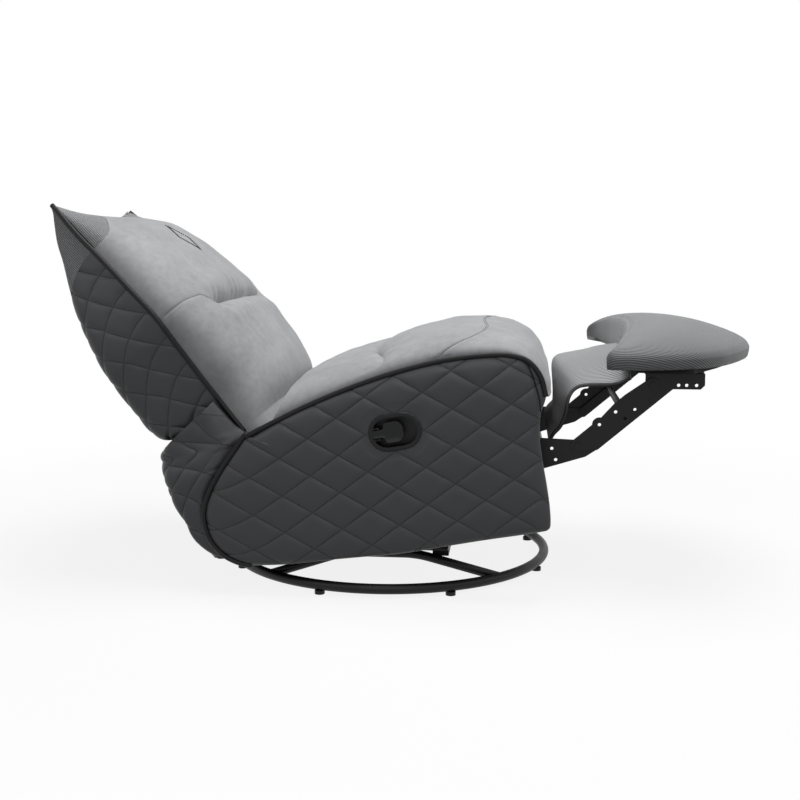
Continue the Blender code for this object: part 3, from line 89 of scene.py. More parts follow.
# The seat body: where its front lies, how long it is, and how high the seat's crown is.
BODY_FRONT, BODY_LENGTH, SEAT_HEIGHT = 0.372, 0.731, 0.572
# The back: the foot of its piping, its lean from upright, its length, and its hinge, which lies
# so far up the piping and so far ahead of it.
BACK_FOOT_Y, BACK_FOOT_Z, BACK_LEAN, BACK_LENGTH = 0.283, 0.342, math.radians(42.0), 0.656
HINGE_UP, HINGE_AHEAD = 0.107, 0.044
# The middle of the release lever's cup, and how far the cup tilts.
LEVER_Y, LEVER_Z, LEVER_TILT = -0.049, 0.358, math.radians(10.0)
# The piping along the body's top edge, as shares of the body's length and the seat's height.
PIPING_SHARES = (
    (0.781, 0.657), (0.681, 0.720), (0.550, 0.790), (0.420, 0.846), (0.291, 0.886),
    (0.164, 0.904), (0.100, 0.897), (0.062, 0.871), (0.036, 0.823), (0.022, 0.757),
)


class Side(Enum):
    """A side of the chair, as the sitter sees it."""

    RIGHT = -1
    LEFT = 1

    @property
    def word(self) -> str:
        """The side's name in piece names."""
        return self.name.lower()


class Slot(Enum):
    """The record's material slots."""

    STEEL = "satin_black_steel"
    ZINC = "zinc_steel"
    PLASTIC = "black_plastic"
    SUEDE = "grey_suede_cloth"
    LEATHER = "charcoal_leather"
    RIBBED = "ribbed_cloth"


def hex_to_linear(code: str) -> tuple[float, float, float, float]:
    """Turns an sRGB hex colour, such as "#3b3b3d", into linear RGBA."""
    channels = (int(code[at : at + 2], 16) / 255.0 for at in (1, 3, 5))
    return (*(c / 12.92 if c <= 0.04045 else ((c + 0.055) / 1.055) ** 2.4 for c in channels), 1.0)


def per_metre(size_mm: float) -> float:
    """The texture scale whose features are about size_mm across, in object coordinates."""
    return 1000.0 / size_mm


def feed(tree: Tree, node: Node, inputs: dict[str | int, object]) -> None:
    """Links or sets a node's inputs.

    Args:
        tree: The node tree that the node is in.
        node: The node.
        inputs: Output sockets to link or values to set, by input name or index.
    """
    for name, value in inputs.items():
        if isinstance(value, Socket):
            tree.links.new(value, node.inputs[name])
        else:
            node.inputs[name].default_value = value


def add_node(
    tree: Tree, kind: str, inputs: dict[str | int, object] | None = None, out: str | int = 0,
    **settings: str,
) -> Socket | None:
    """Adds a shader node with its settings and links.

    Args:
        tree: The node tree that gets the node.
        kind: The node's type without its prefix, such as "Math".
        inputs: Output sockets or values, by input name or index.
        out: Which of the node's outputs to give back.
        **settings: Attributes of the node itself.

    Returns:
        That output, or None where the node has no outputs.
    """
    node = tree.nodes.new(f"ShaderNode{kind}")
    for name, value in settings.items():
        setattr(node, name, value)
    feed(tree, node, inputs or {})
    return node.outputs[out] if len(node.outputs) else None


@dataclass(frozen=True)
class Finish:
    """What every finish has: a material of its own name, made once.

    The IOR stays at 1.5, which suits these polymers. The specular level is lower than usual where
    the photograph shows a duller face, because a white studio stands in every reflection.
    """

    name: str
    colour: str
    roughness: float
    specular: float = 0.5
    bump_strength: float = 0.35
    sheen: float = 0.0
    sheen_roughness: float = 0.5

    def material(self) -> bpy.types.Material:
        """Finds the Blender material, or makes it on first use.

        Returns:
            The material.
        """
        found = bpy.data.materials.get(self.name)
        if found is not None:
            return found
        made = bpy.data.materials.new(self.name)
        made.use_nodes = True
        tree = made.node_tree
        shader = tree.nodes["Principled BSDF"]
        plain = {
            "Base Color": hex_to_linear(self.colour), "Roughness": self.roughness,
            "Specular IOR Level": self.specular, "Sheen Weight": self.sheen,
            "Sheen Roughness": self.sheen_roughness,
        }
        feed(tree, shader, plain)
        self.dress(tree, shader)
        return made

    def dress(self, tree: Tree, shader: Node) -> None:
        """Adds the finish's own nodes; a plain finish has none."""

    def bump(self, tree: Tree, shader: Node, height: Socket, depth_mm: float) -> None:
        """Links a height to the shader's normal, where a height of 1 is depth_mm deep."""
        relief = {"Height": height, "Distance": depth_mm * MM, "Strength": self.bump_strength}
        feed(tree, shader, {"Normal": add_node(tree, "Bump", relief)})


@dataclass(frozen=True)
class FauxSuede(Finish):
    """Brushed polyester faux suede: a short nap that lies in soft light and dark patches."""

    specular: float = 0.25
    sheen: float = 0.25
    sheen_roughness: float = 0.45
    shade: str = "#97989a"
    # The real nap is about 0.3 mm, and is drawn coarser, so that it shows.
    nap_mm: float = 1.4
    nap_depth_mm: float = 0.35
    mottle_mm: float = 15.0
    patch_mm: float = 95.0
    contrast: Range = (0.68, 1.32)

    def dress(self, tree: Tree, shader: Node) -> None:
        """Mixes two greys by brushed patches, with a fine nap in the bump.

        Args:
            tree: The material's tree.
            shader: Its Principled BSDF.
        """
        place = add_node(tree, "TexCoord", out="Object")
        mottle, patch, nap = (
            add_node(
                tree, "TexNoise",
                {"Vector": place, "Scale": per_metre(size), "Detail": detail, "Roughness": 0.6},
            )
            for size, detail in ((self.mottle_mm, 6.0), (self.patch_mm, 3.0), (self.nap_mm, 2.0))
        )
        brushed = add_node(tree, "Math", {0: mottle, 1: patch}, operation="ADD")
        low, high = self.contrast
        spread = add_node(tree, "MapRange", {"Value": brushed, "From Min": low, "From Max": high})
        greys = {0: spread, 6: hex_to_linear(self.shade), 7: hex_to_linear(self.colour)}
        mixed = add_node(tree, "Mix", greys, out=2, data_type="RGBA")
        self.bump(tree, shader, nap, self.nap_depth_mm)
        feed(tree, shader, {"Base Color": mixed})


@dataclass(frozen=True)
class QuiltedLeather(Finish):
    """Polyurethane leather, embossed with a fine grain and stitched down in lines, with painted shade
    in the creases beside them.

    The stitch lines lie on the whole numbers of the quilt's two UV coordinates, and cell_mm is
    how far apart they are. Each range runs from where a line's mark is full to where it ends.
    """

    specular: float = 0.36
    bump_strength: float = 0.5
    worn: str = "#4c4d50"
    # The colour of the painted shade in the creases beside the stitch lines.
    painted_crease_shade: str = "#1d1e1f"
    thread: str = "#1a1b1c"
    cell_mm: float = 66.0
    stitch_mm: float = 5.0
    thread_mm: Range = (0.6, 1.3)
    crease_mm: Range = (0.3, 2.7)
    pucker_mm: Range = (1.0, 7.0)
    crease_shadow: float = 0.75
    # Where the wave along a line turns from gap to thread, and how far the leather ripples with
    # it beside the line, as a share of the relief.
    dash_wave: Range = (-0.7, -0.3)
    ripple_share: float = 0.10
    relief_mm: float = 1.0
    # The real grain is about 0.5 mm, and is drawn coarser, so that it shows.
    grain_mm: float = 1.1
    grain_height: float = 0.12
    tone_mm: float = 140.0

    def dress(self, tree: Tree, shader: Node) -> None:
        """Draws both families of stitches, the puckers and the painted shade beside them, and the
        grain.

        Args:
            tree: The material's tree.
            shader: Its Principled BSDF.
        """
        place = add_node(tree, "TexCoord", out="Object")
        quilt = add_node(tree, "UVMap", uv_map=QUILT_UV)
        first, second, _ = add_node(tree, "SeparateXYZ", {0: quilt}).node.outputs
        both = zip(self.stitch_line(tree, first, second), self.stitch_line(tree, second, first))
        stitch, crease, pucker = (
            add_node(tree, "Math", {0: one, 1: other}, operation="MAXIMUM") for one, other in both
        )
        grain = add_node(
            tree, "TexVoronoi", {"Vector": place, "Scale": per_metre(self.grain_mm)},
            feature="SMOOTH_F1",
        )
        tone = add_node(
            tree, "TexNoise", {"Vector": place, "Scale": per_metre(self.tone_mm), "Detail": 3.0}
        )
        mixed = hex_to_linear(self.colour)
        # The crease mix is painted shade: the leather darkens beside each stitch line.
        for share, colour in ((tone, self.worn), (crease, self.painted_crease_shade), (stitch, self.thread)):
            mixed = add_node(
                tree, "Mix", {0: share, 6: mixed, 7: hex_to_linear(colour)}, out=2, data_type="RGBA"
            )
        feed(tree, shader, {"Base Color": mixed})
        lifted = add_node(
            tree, "Math", {0: grain, 1: self.grain_height, 2: pucker}, operation="MULTIPLY_ADD"
        )
        height = add_node(tree, "Math", {0: lifted, 1: stitch}, operation="SUBTRACT")
        self.bump(tree, shader, height, self.relief_mm)

    def stitch_line(self, tree: Tree, across: Socket, along: Socket) -> tuple[Socket, Socket, Socket]:
        """One family of stitch lines.

        Args:
            tree: The material's tree.
            across: The quilt coordinate that is whole on the lines.
            along: The other quilt coordinate.

        Returns:
            Sockets from 0 to 1: the thread's dashes, the painted shade of the crease and the puckers.
        """
        whole = add_node(tree, "Math", {0: across}, operation="ROUND")
        off = add_node(tree, "Math", {0: across, 1: whole}, operation="SUBTRACT")
        distance = add_node(tree, "Math", {0: off}, operation="ABSOLUTE")
        line, crease, near = (
            add_node(
                tree, "MapRange",
                {"Value": distance, "From Min": low / self.cell_mm, "From Max": high / self.cell_mm,
                 "To Min": 1.0, "To Max": 0.0},
                interpolation_type="SMOOTHSTEP",
            )
            for low, high in (self.thread_mm, self.crease_mm, self.pucker_mm)
        )
        turns = 2.0 * math.pi * self.cell_mm / self.stitch_mm
        angle = add_node(tree, "Math", {0: along, 1: turns}, operation="MULTIPLY")
        wave = add_node(tree, "Math", {0: angle}, operation="SINE")
        low, high = self.dash_wave
        dash = add_node(tree, "MapRange", {"Value": wave, "From Min": low, "From Max": high})
        stitch = add_node(tree, "Math", {0: line, 1: dash}, operation="MULTIPLY")
        share = self.ripple_share
        ripple = add_node(tree, "Math", {0: wave, 1: share, 2: share}, operation="MULTIPLY_ADD")
        pucker = add_node(tree, "Math", {0: near, 1: ripple}, operation="MULTIPLY")
        # Painted shade in the crease: how far the leather is mixed towards the shade colour.
        shadow = add_node(tree, "Math", {0: crease, 1: self.crease_shadow}, operation="MULTIPLY")
        return stitch, shadow, pucker


@dataclass(frozen=True)
class RibbedWeave(Finish):
    """Polyester ribbed weave: raised cords with a satin face, and darker thread between them, deepened
    by painted shade in the grooves.

    The first weave coordinate runs across the ribs, in metres.
    """

    specular: float = 0.4
    bump_strength: float = 0.6
    sheen: float = 0.15
    sheen_roughness: float = 0.35
    # The colour between the cords: darker ground thread, deepened by painted shade in the grooves.
    ground_and_groove_shade: str = "#252628"
    rib_mm: float = 5.2
    # The weft that crosses a rib is finer than shows, and is drawn at this share of the rib.
    weft_share: float = 0.45
    weft_height: float = 0.25
    wander_mm: float = 1.5
    wander_length_mm: float = 45.0
    rib_depth_mm: float = 0.6
    # Below the given height the weave darkens over the fade to this near black: painted shade at the
    # flap's foot.
    black: str = "#161718"
    shade_below: float | None = None
    shade_fade: float = 0.05

    def dress(self, tree: Tree, shader: Node) -> None:
        """Draws the ribs in colour and bump, a little uneven as woven cloth is.

        Args:
            tree: The material's tree.
            shader: Its Principled BSDF.
        """
        place = add_node(tree, "TexCoord", out="Object")
        weave = add_node(tree, "UVMap", uv_map=WEAVE_UV)
        across, along, _ = add_node(tree, "SeparateXYZ", {0: weave}).node.outputs
        wobble = add_node(
            tree, "TexNoise",
            {"Vector": place, "Scale": per_metre(self.wander_length_mm), "Detail": 2.0},
        )
        shifted = add_node(
            tree, "Math", {0: wobble, 1: self.wander_mm * MM, 2: across}, operation="MULTIPLY_ADD"
        )
        ribs, weft = (
            self.cords(tree, coordinate, pitch)
            for coordinate, pitch in ((shifted, self.rib_mm), (along, self.rib_mm * self.weft_share))
        )
        thread = add_node(
            tree, "Math", {0: weft, 1: self.weft_height, 2: ribs}, operation="MULTIPLY_ADD"
        )
        # The colour falls from the cords' crests to the groove colour: partly darker thread, partly
        # painted shade in the grooves.
        mixed = add_node(
            tree, "Mix", {0: thread, 6: hex_to_linear(self.ground_and_groove_shade), 7: hex_to_linear(self.colour)},
            out=2, data_type="RGBA",
        )
        # Painted shade: the flap's foot, under the seat's front, darkens to near black below the given
        # height.
        if self.shade_below is not None:
            height = add_node(tree, "SeparateXYZ", {0: place}, out=2)
            top = self.shade_below + self.shade_fade
            painted_shade = add_node(
                tree, "MapRange", {"Value": height, "From Min": self.shade_below, "From Max": top},
                interpolation_type="SMOOTHSTEP",
            )
            mixed = add_node(
                tree, "Mix", {0: painted_shade, 6: hex_to_linear(self.black), 7: mixed}, out=2, data_type="RGBA"
            )
        self.bump(tree, shader, thread, self.rib_depth_mm)
        feed(tree, shader, {"Base Color": mixed})

    def cords(self, tree: Tree, coordinate: Socket, pitch_mm: float) -> Socket:
        """A wave from 0 to 1 whose crests are the cords.

        Args:
            tree: The material's tree.
            coordinate: The weave coordinate across the cords, in metres.
            pitch_mm: How far apart the cords are.

        Returns:
            The socket that gives the wave.
        """
        turns = 2.0 * math.pi * per_metre(pitch_mm)
        angle = add_node(tree, "Math", {0: coordinate, 1: turns}, operation="MULTIPLY")
        wave = add_node(tree, "Math", {0: angle}, operation="SINE")
        return add_node(tree, "Math", {0: wave, 1: 0.5, 2: 0.5}, operation="MULTIPLY_ADD")


@dataclass(frozen=True)
class GrainedPolymer(Finish):
    """A smooth or moulded polymer whose face has a fine even grain."""

    bump_strength: float = 0.3
    grain_mm: float = 0.9
    grain_depth_mm: float = 0.15
    detail: float = 2.0

    def dress(self, tree: Tree, shader: Node) -> None:
        """Adds the grain.

        Args:
            tree: The material's tree.
            shader: Its Principled BSDF.
        """
        place = add_node(tree, "TexCoord", out="Object")
        pattern = {"Vector": place, "Scale": per_metre(self.grain_mm), "Detail": self.detail}
        grain = add_node(tree, "TexNoise", pattern)
        self.bump(tree, shader, grain, self.grain_depth_mm)


@dataclass(frozen=True)
class PowderCoat(Finish):
    """Satin polyester powder coat on steel, with its slight orange peel."""

    specular: float = 0.26
    peel_mm: float = 1.6
    peel_depth_mm: float = 0.10
    wear_mm: float = 60.0
    wear: Range = (-0.06, 0.10)

    def dress(self, tree: Tree, shader: Node) -> None:
        """Adds the orange peel and a little unevenness of gloss.

        Args:
            tree: The material's tree.
            shader: Its Principled BSDF.
        """
        place = add_node(tree, "TexCoord", out="Object")
        peel, wear = (
            add_node(tree, "TexNoise", {"Vector": place, "Scale": per_metre(size)})
            for size in (self.peel_mm, self.wear_mm)
        )
        low, high = (self.roughness + change for change in self.wear)
        gloss = add_node(tree, "MapRange", {"Value": wear, "To Min": low, "To Max": high})
        feed(tree, shader, {"Roughness": gloss})
        self.bump(tree, shader, peel, self.peel_depth_mm)


@dataclass(frozen=True)
class ZincPlate(Finish):
    """Zinc-plated steel, drawn along its length, so that it carries fine streaks."""

    streak_mm: float = 1.5
    streak_stretch: Place = (0.05, 1.0, 1.0)
    wear: Range = (-0.10, 0.15)

    def dress(self, tree: Tree, shader: Node) -> None:
        """Adds the streaks to the gloss of a bare metal.

        Args:
            tree: The material's tree.
            shader: Its Principled BSDF.
        """
        place = add_node(tree, "TexCoord", out="Object")
        drawn = add_node(tree, "Mapping", {"Vector": place, "Scale": self.streak_stretch})
        streak = add_node(
            tree, "TexNoise", {"Vector": drawn, "Scale": per_metre(self.streak_mm), "Detail": 4.0}
        )
        low, high = (self.roughness + change for change in self.wear)
        gloss = add_node(tree, "MapRange", {"Value": streak, "To Min": low, "To Max": high})
        feed(tree, shader, {"Metallic": 1.0, "Roughness": gloss})


# Brushed faux suede: raised fibres give no gloss, a soft pale edge and cloudy patches.
SUEDE = FauxSuede("grey_faux_suede", "#acadaf", 0.88)
# Polyurethane leather quilted on foam: a dull sheen picks out the swell of each diamond.
LEATHER = QuiltedLeather("charcoal_pu_leather", "#414244", 0.42)
# Ribbed polyester weave: satin cords over a dark ground show as fine lines, pale on their crests; the
# dark between them is partly painted shade in the grooves.
# The pad's copy of the weave is darker and the flap's lighter: painted shade on the pad and painted
# light on the flap.
RIBBED = RibbedWeave("grey_ribbed_weave", "#8a8b8d", 0.5)
FINE_RIBBED = RibbedWeave("fine_grey_ribbed_weave", "#8e8f91", 0.5, rib_mm=4.0)
# On the flap the weave darkens to near black at its foot: painted shade under the seat's front.
FLAP_WEAVE = RibbedWeave("grey_ribbed_weave_black_foot", "#a3a4a6", 0.5, shade_below=0.378)
# Spun-bonded polypropylene, pressed and not woven: flat black without gloss.
DUST_COVER = Finish("black_nonwoven_dust_cover", "#1b1b1c", 0.95)
# Vinyl extruded over a cord: smooth, with one soft gleam along it.
PIPING = GrainedPolymer("black_vinyl_piping", "#0c0c0d", 0.45, specular=0.22)
# Bonded polyester thread: dull, and a shade darker than the leather.
THREAD = Finish("charcoal_thread", "#2c2d2f", 0.8)
# Powder coat baked on steel: black, with a soft gleam that the orange peel breaks a little.
PAINT = PowderCoat("satin_black_powder_coat", "#0b0b0c", 0.40)
# Bright zinc plate on drawn steel: grey metal with fine streaks.
ZINC = ZincPlate("zinc_plated_steel", "#b4b5b8", 0.38)
# Polypropylene out of a spark-eroded mould: dull black with a faint pebble, drawn coarser than
# its real 0.2 mm, so that it shows.
PLASTIC = GrainedPolymer(
    "moulded_black_polypropylene", "#121314", 0.40, specular=0.25, bump_strength=0.4,
    grain_mm=0.8, grain_depth_mm=0.10, detail=3.0,
)


@dataclass(frozen=True)
class Groove:
    """A sharp valley, where a seam or a tuft pulls the cloth down, in metres."""

    depth: float | np.ndarray
    width: float | np.ndarray

    def at(self, distance: np.ndarray) -> np.ndarray:
        """The height at a distance from the seam, 0 or below."""
        return -self.depth * np.exp(-np.abs(distance) / self.width)


@dataclass(frozen=True)
class Roll:
    """A soft roll of cloth, or a hollow where its height is below 0, in metres."""

    height: float
    width: float
    place: float = 0.0

    def at(self, distance: np.ndarray) -> np.ndarray:
        """The height at a distance from the seam."""
        return self.height * np.exp(-(((distance - self.place) / self.width) ** 2))


@dataclass(frozen=True)
class Quilting:
    """How far quilting swells off its base, and how its stitch lines sink, in metres."""

    swell: float
    cell: float
    crease: float
    base_share: float

    def at(self, quilt: np.ndarray) -> np.ndarray:
        """The height at pairs of quilt coordinates, which are whole on the stitch lines."""
        risen = 1.0 - np.exp(-np.abs(quilt - np.round(quilt)) * self.cell / self.crease)
        return self.swell * (risen[..., 0] * risen[..., 1] - self.base_share)


def curve_at(rows: Rows, where: np.ndarray | float) -> np.ndarray:
    """Reads a smooth curve through (x, value) rows.

    Args:
        rows: The rows, with rising x.
        where: Where to read it; beyond the ends it stays level.

    Returns:
        The values.
    """
    table = np.asarray(rows, float)
    xs, ys = table[:, 0], table[:, 1]
    slopes = np.gradient(ys, xs)
    at = np.clip(np.asarray(where, float), xs[0], xs[-1])
    low = np.clip(np.searchsorted(xs, at, side="right") - 1, 0, len(xs) - 2)
    span = xs[low + 1] - xs[low]
    t = (at - xs[low]) / span
    start = ys[low] * (1 + 2 * t) * (1 - t) ** 2 + ys[low + 1] * t * t * (3 - 2 * t)
    bend = span * (slopes[low] * t * (1 - t) ** 2 - slopes[low + 1] * t * t * (1 - t))
    return start + bend


def spline(points: Rows, count: int, closed: bool = False) -> np.ndarray:
    """Even steps of the parameter on a Catmull-Rom curve through points.

    Args:
        points: The points, of any dimension.
        count: How many points to return.
        closed: Whether the curve closes on itself.

    Returns:
        An array of count points.
    """
    given = np.asarray(points, float)
    if closed:
        ring = np.vstack([given[-1], given, given[0], given[1]])
        where = np.linspace(0.0, len(given), count, endpoint=False)
    else:
        ring = np.vstack([2 * given[0] - given[1], given, 2 * given[-1] - given[-2]])
        where = np.linspace(0.0, len(given) - 1, count)
    low = np.minimum(where.astype(int), len(ring) - 4)
    t = (where - low)[:, None]
    a, b, c, d = (ring[low + k] for k in range(4))
    return 0.5 * (
        2 * b + (c - a) * t + (2 * a - 5 * b + 4 * c - d) * t**2 + (3 * b - a - 3 * c + d) * t**3
    )


def run_along(points: np.ndarray, axis: int = 0) -> np.ndarray:
    """How far points lie along lines that run on an axis, from each line's first point."""
    steps = np.diff(points, axis=axis, prepend=np.take(points, [0], axis=axis))
    return np.cumsum(np.linalg.norm(steps, axis=-1), axis=axis)


def even_steps(path: np.ndarray, count: int, closed: bool = False) -> np.ndarray:
    """Resamples a path at even distances.

    Args:
        path: The path's points.
        count: How many points to return.
        closed: Whether the path closes on itself.

    Returns:
        An array of count points.
    """
    line = np.vstack([path, path[:1]]) if closed else path
    gone = run_along(line)
    where = np.linspace(0.0, gone[-1], count, endpoint=not closed)
    return np.stack([np.interp(where, gone, line[:, k]) for k in range(line.shape[1])], axis=1)


def normals_of(grid: np.ndarray) -> np.ndarray:
    """Unit normals of a grid of points, from its rows crossed with its columns."""
    normal = np.cross(np.gradient(grid, axis=0), np.gradient(grid, axis=1))
    return normal / np.maximum(np.linalg.norm(normal, axis=2, keepdims=True), 1e-12)


def crown(share: np.ndarray, power: float) -> np.ndarray:
    """A padded cross-section: 1 in the middle and 0 at a share of 1 either way."""
    return np.clip(1.0 - np.abs(share) ** power, 0.0, 1.0) ** (1.0 / power)


def eased(share: np.ndarray) -> np.ndarray:
    """A share from 0 to 1 with a soft start and end."""
    return share * share * (3.0 - 2.0 * share)


def border_of(grid: np.ndarray) -> np.ndarray:
    """The border of a grid of points, values or vertex numbers, once round."""
    return np.concatenate([grid[0, :-1], grid[:-1, -1], grid[-1, :0:-1], grid[:0:-1, 0]])


class MeshMaker:
    """Collects grids of points into one mesh, with UV maps in real units."""

    # Points nearer than this merge, and the rings that close a form lie at these shares.
    weld = 1e-5
    closing_shares = (0.985, 0.93, 0.80, 0.45, 0.0)

    def __init__(self) -> None:
        """Starts empty."""
        self.points: list[np.ndarray] = []
        self.faces: list[np.ndarray] = []
        self.uvs: list[np.ndarray] = []
        self.count = 0

    def add_grid(
        self, grid: np.ndarray, uv: np.ndarray | None = None, wrap: bool = False, flip: bool = False
    ) -> np.ndarray:
        """Adds a grid of quads.

        Args:
            grid: Rows by columns of points.
            uv: Rows by columns of UV pairs, zeros if left out.
            wrap: Whether the last column joins the first.
            flip: Whether the faces turn over.

        Returns:
            The vertex numbers, rows by columns.
        """
        rows, columns = grid.shape[:2]
        numbers = self.count + np.arange(rows * columns).reshape(rows, columns)
        self.points.append(grid.reshape(-1, 3))
        pairs = np.zeros((rows, columns, 2)) if uv is None else uv
        self.uvs.append(pairs.reshape(-1, 2))
        self.count += rows * columns
        self.join_rows(numbers, wrap, flip)
        return numbers

    def join_rows(self, numbers: np.ndarray, wrap: bool = False, flip: bool = False) -> None:
        """Adds quads between the rows of an array of vertex numbers.

        Args:
            numbers: Rows by columns of vertex numbers.
            wrap: Whether the last column joins the first.
            flip: Whether the faces turn over.
        """
        right = np.roll(numbers, -1, axis=1)
        if not wrap:
            numbers, right = numbers[:, :-1], right[:, :-1]
        quads = np.stack([numbers[:-1], right[:-1], right[1:], numbers[1:]], axis=-1)
        quads = quads.reshape(-1, 4)
        self.faces.append(quads[:, ::-1] if flip else quads)

    def stitch_border(self, top: np.ndarray, bottom: np.ndarray) -> None:
        """Joins the borders of two grids of vertex numbers with the same layout."""
        self.join_rows(np.stack([border_of(top), border_of(bottom)]), wrap=True)

    def close_under(
        self, numbers: np.ndarray, grid: np.ndarray, centre: Sequence[float] | np.ndarray
    ) -> None:
        """Closes a grid behind its border with rings that run in to a point.

        Args:
            numbers: The grid's vertex numbers.
            grid: The grid's points.
            centre: Where the rings end.
        """
        rings = [centre + (border_of(grid) - centre) * share for share in self.closing_shares]
        inner = self.add_grid(np.array(rings), wrap=True, flip=True)
        self.join_rows(np.stack([border_of(numbers), inner[0]]), wrap=True, flip=True)

    def build(self, name: str, uv_name: str = QUILT_UV) -> bpy.types.Object:
        """Makes the object, welded, with its faces pointing out and shaded smooth.

        Args:
            name: The object's name.
            uv_name: The name of its UV map.

        Returns:
            The object, linked to the scene.
        """
        mesh = bpy.data.meshes.new(name)
        faces = np.concatenate(self.faces)
        mesh.from_pydata(np.concatenate(self.points).tolist(), [], faces.tolist())
        layer = mesh.uv_layers.new(name=uv_name)
        corners = np.zeros(len(mesh.loops), int)
        mesh.loops.foreach_get("vertex_index", corners)
        layer.data.foreach_set("uv", np.concatenate(self.uvs)[corners].ravel())
        work = bmesh.new()
        work.from_mesh(mesh)
        bmesh.ops.remove_doubles(work, verts=work.verts, dist=self.weld)
        bmesh.ops.recalc_face_normals(work, faces=work.faces)
        work.to_mesh(mesh)
        work.free()
        mesh.shade_smooth()
        made = bpy.data.objects.new(name, mesh)
        bpy.context.scene.collection.objects.link(made)
        return made


def sheet_of(outer: np.ndarray, inner: np.ndarray, uv: np.ndarray | None = None) -> MeshMaker:
    """A thin closed form between two faces with the same layout.

    Args:
        outer: The outer face's points.
        inner: The inner face's points.
        uv: The UV pairs of both.

    Returns:
        The mesh so far.
    """
    maker = MeshMaker()
    maker.stitch_border(maker.add_grid(outer, uv), maker.add_grid(inner, uv, flip=True))
    return maker


def tube(path: np.ndarray, radius: float, sides: int, closed: bool = False) -> MeshMaker:
    """A round tube along a path, with flat ends.

    Args:
        path: The path's points.
        radius: The tube's radius.
        sides: How many sides it has.
        closed: Whether it closes on itself.

    Returns:
        The mesh so far.
    """
    if closed:
        along = np.roll(path, -1, axis=0) - np.roll(path, 1, axis=0)
    else:
        along = np.gradient(path, axis=0)
    along /= np.linalg.norm(along, axis=1, keepdims=True)
    across = np.cross(along[0], [0.0, 0.0, 1.0] if abs(along[0][2]) < 0.9 else [1.0, 0.0, 0.0])
    turns = np.linspace(0.0, 2.0 * math.pi, sides, endpoint=False)
    rings = []
    for point, way in zip(path, along):
        across = across - way * (across @ way)
        across /= np.linalg.norm(across)
        up = np.cross(way, across)
        rings.append(point + radius * (np.outer(np.cos(turns), across) + np.outer(np.sin(turns), up)))
    if closed:
        rings.append(rings[0])
    else:
        rings = [np.repeat(path[:1], sides, 0), *rings, np.repeat(path[-1:], sides, 0)]
    maker = MeshMaker()
    maker.add_grid(np.array(rings), wrap=True)
    return maker


@dataclass(frozen=True)
class Thread:
    """Sewing thread in separate stitches, whose ends dip into the cloth."""

    radius: float = 0.00045
    stitch: float = 0.0042
    gap: float = 0.0014
    sides: int = 6

    # Shares of the stitch's length, and of the radius: its thickness and its height there.
    form_shares: Rows = (
        (0.0, 0.05, -0.6), (0.12, 0.8, 0.3), (0.5, 1.0, 0.8), (0.88, 0.8, 0.3), (1.0, 0.05, -0.6),
    )

    def sew(self, path: np.ndarray, normals: np.ndarray) -> MeshMaker:
        """Sews a row of stitches along a path on a surface.

        Args:
            path: The seam's points.
            normals: The surface's normal at each of them.

        Returns:
            The mesh so far.
        """
        gone = run_along(path)
        turns = np.linspace(0.0, 2.0 * math.pi, self.sides, endpoint=False)
        places, sizes, heights = np.array(self.form_shares).T
        maker = MeshMaker()
        for start in np.arange(self.gap, gone[-1] - self.stitch, self.stitch + self.gap):
            where = start + self.stitch * places
            line = np.stack([np.interp(where, gone, path[:, k]) for k in range(3)], axis=1)
            up = np.array([np.interp(start, gone, normals[:, k]) for k in range(3)])
            side = np.cross(up, line[-1] - line[0])
            side /= max(np.linalg.norm(side), 1e-9)
            ring = np.outer(np.cos(turns), side) + np.outer(np.sin(turns), up)
            rings = [
                point + up * self.radius * height + self.radius * size * ring
                for point, size, height in zip(line, sizes, heights)
            ]
            maker.add_grid(np.array(rings), wrap=True)
        return maker


def body_points(shares: Rows) -> np.ndarray:
    """(y, z) points of the seat body from shares of its length and the seat's height."""
    return np.asarray(shares, float) * [BODY_LENGTH, SEAT_HEIGHT] - [BODY_FRONT, 0.0]


def back_points(
    x: np.ndarray | float, along: np.ndarray | float, behind: np.ndarray | float
) -> np.ndarray:
    """Points in the back's leaning frame.

    Args:
        x: How far to the sitter's left.
        along: How far up the back's piping.
        behind: How far behind the piping.

    Returns:
        The points, upright.
    """
    sin, cos = math.sin(BACK_LEAN), math.cos(BACK_LEAN)
    y = BACK_FOOT_Y + along * sin + behind * cos
    z = BACK_FOOT_Z + along * cos - behind * sin
    return np.stack(np.broadcast_arrays(x, y, z), axis=-1)


HINGE = back_points(0.0, HINGE_UP, -HINGE_AHEAD)[1:]


def kept_out(grid: np.ndarray, radius: float) -> np.ndarray:
    """Moves points out of the hollow in which the back's foot turns.

    Args:
        grid: The points.
        radius: The hollow's radius about the hinge.

    Returns:
        The moved points.
    """
    away = grid[..., 1:] - HINGE
    length = np.linalg.norm(away, axis=-1, keepdims=True)
    out = HINGE + away * np.maximum(1.0, radius / np.maximum(length, 1e-9))
    return np.concatenate([grid[..., :1], out], axis=-1)


def kept_in(grid: np.ndarray, radius: float) -> np.ndarray:
    """Draws points of the back's foot in to the round that turns in the seat's hollow.

    Args:
        grid: The points.
        radius: The round's radius about the hinge.

    Returns:
        The points, with those above the hinge as they were.
    """
    away = grid[..., 1:] - HINGE
    length = np.linalg.norm(away, axis=-1, keepdims=True)
    up = away @ np.array([math.sin(BACK_LEAN), math.cos(BACK_LEAN)])
    drawn = HINGE + away * np.minimum(1.0, radius / np.maximum(length, 1e-9))
    moved = np.where((up < 0.0)[..., None], drawn, grid[..., 1:])
    return np.concatenate([grid[..., :1], moved], axis=-1)


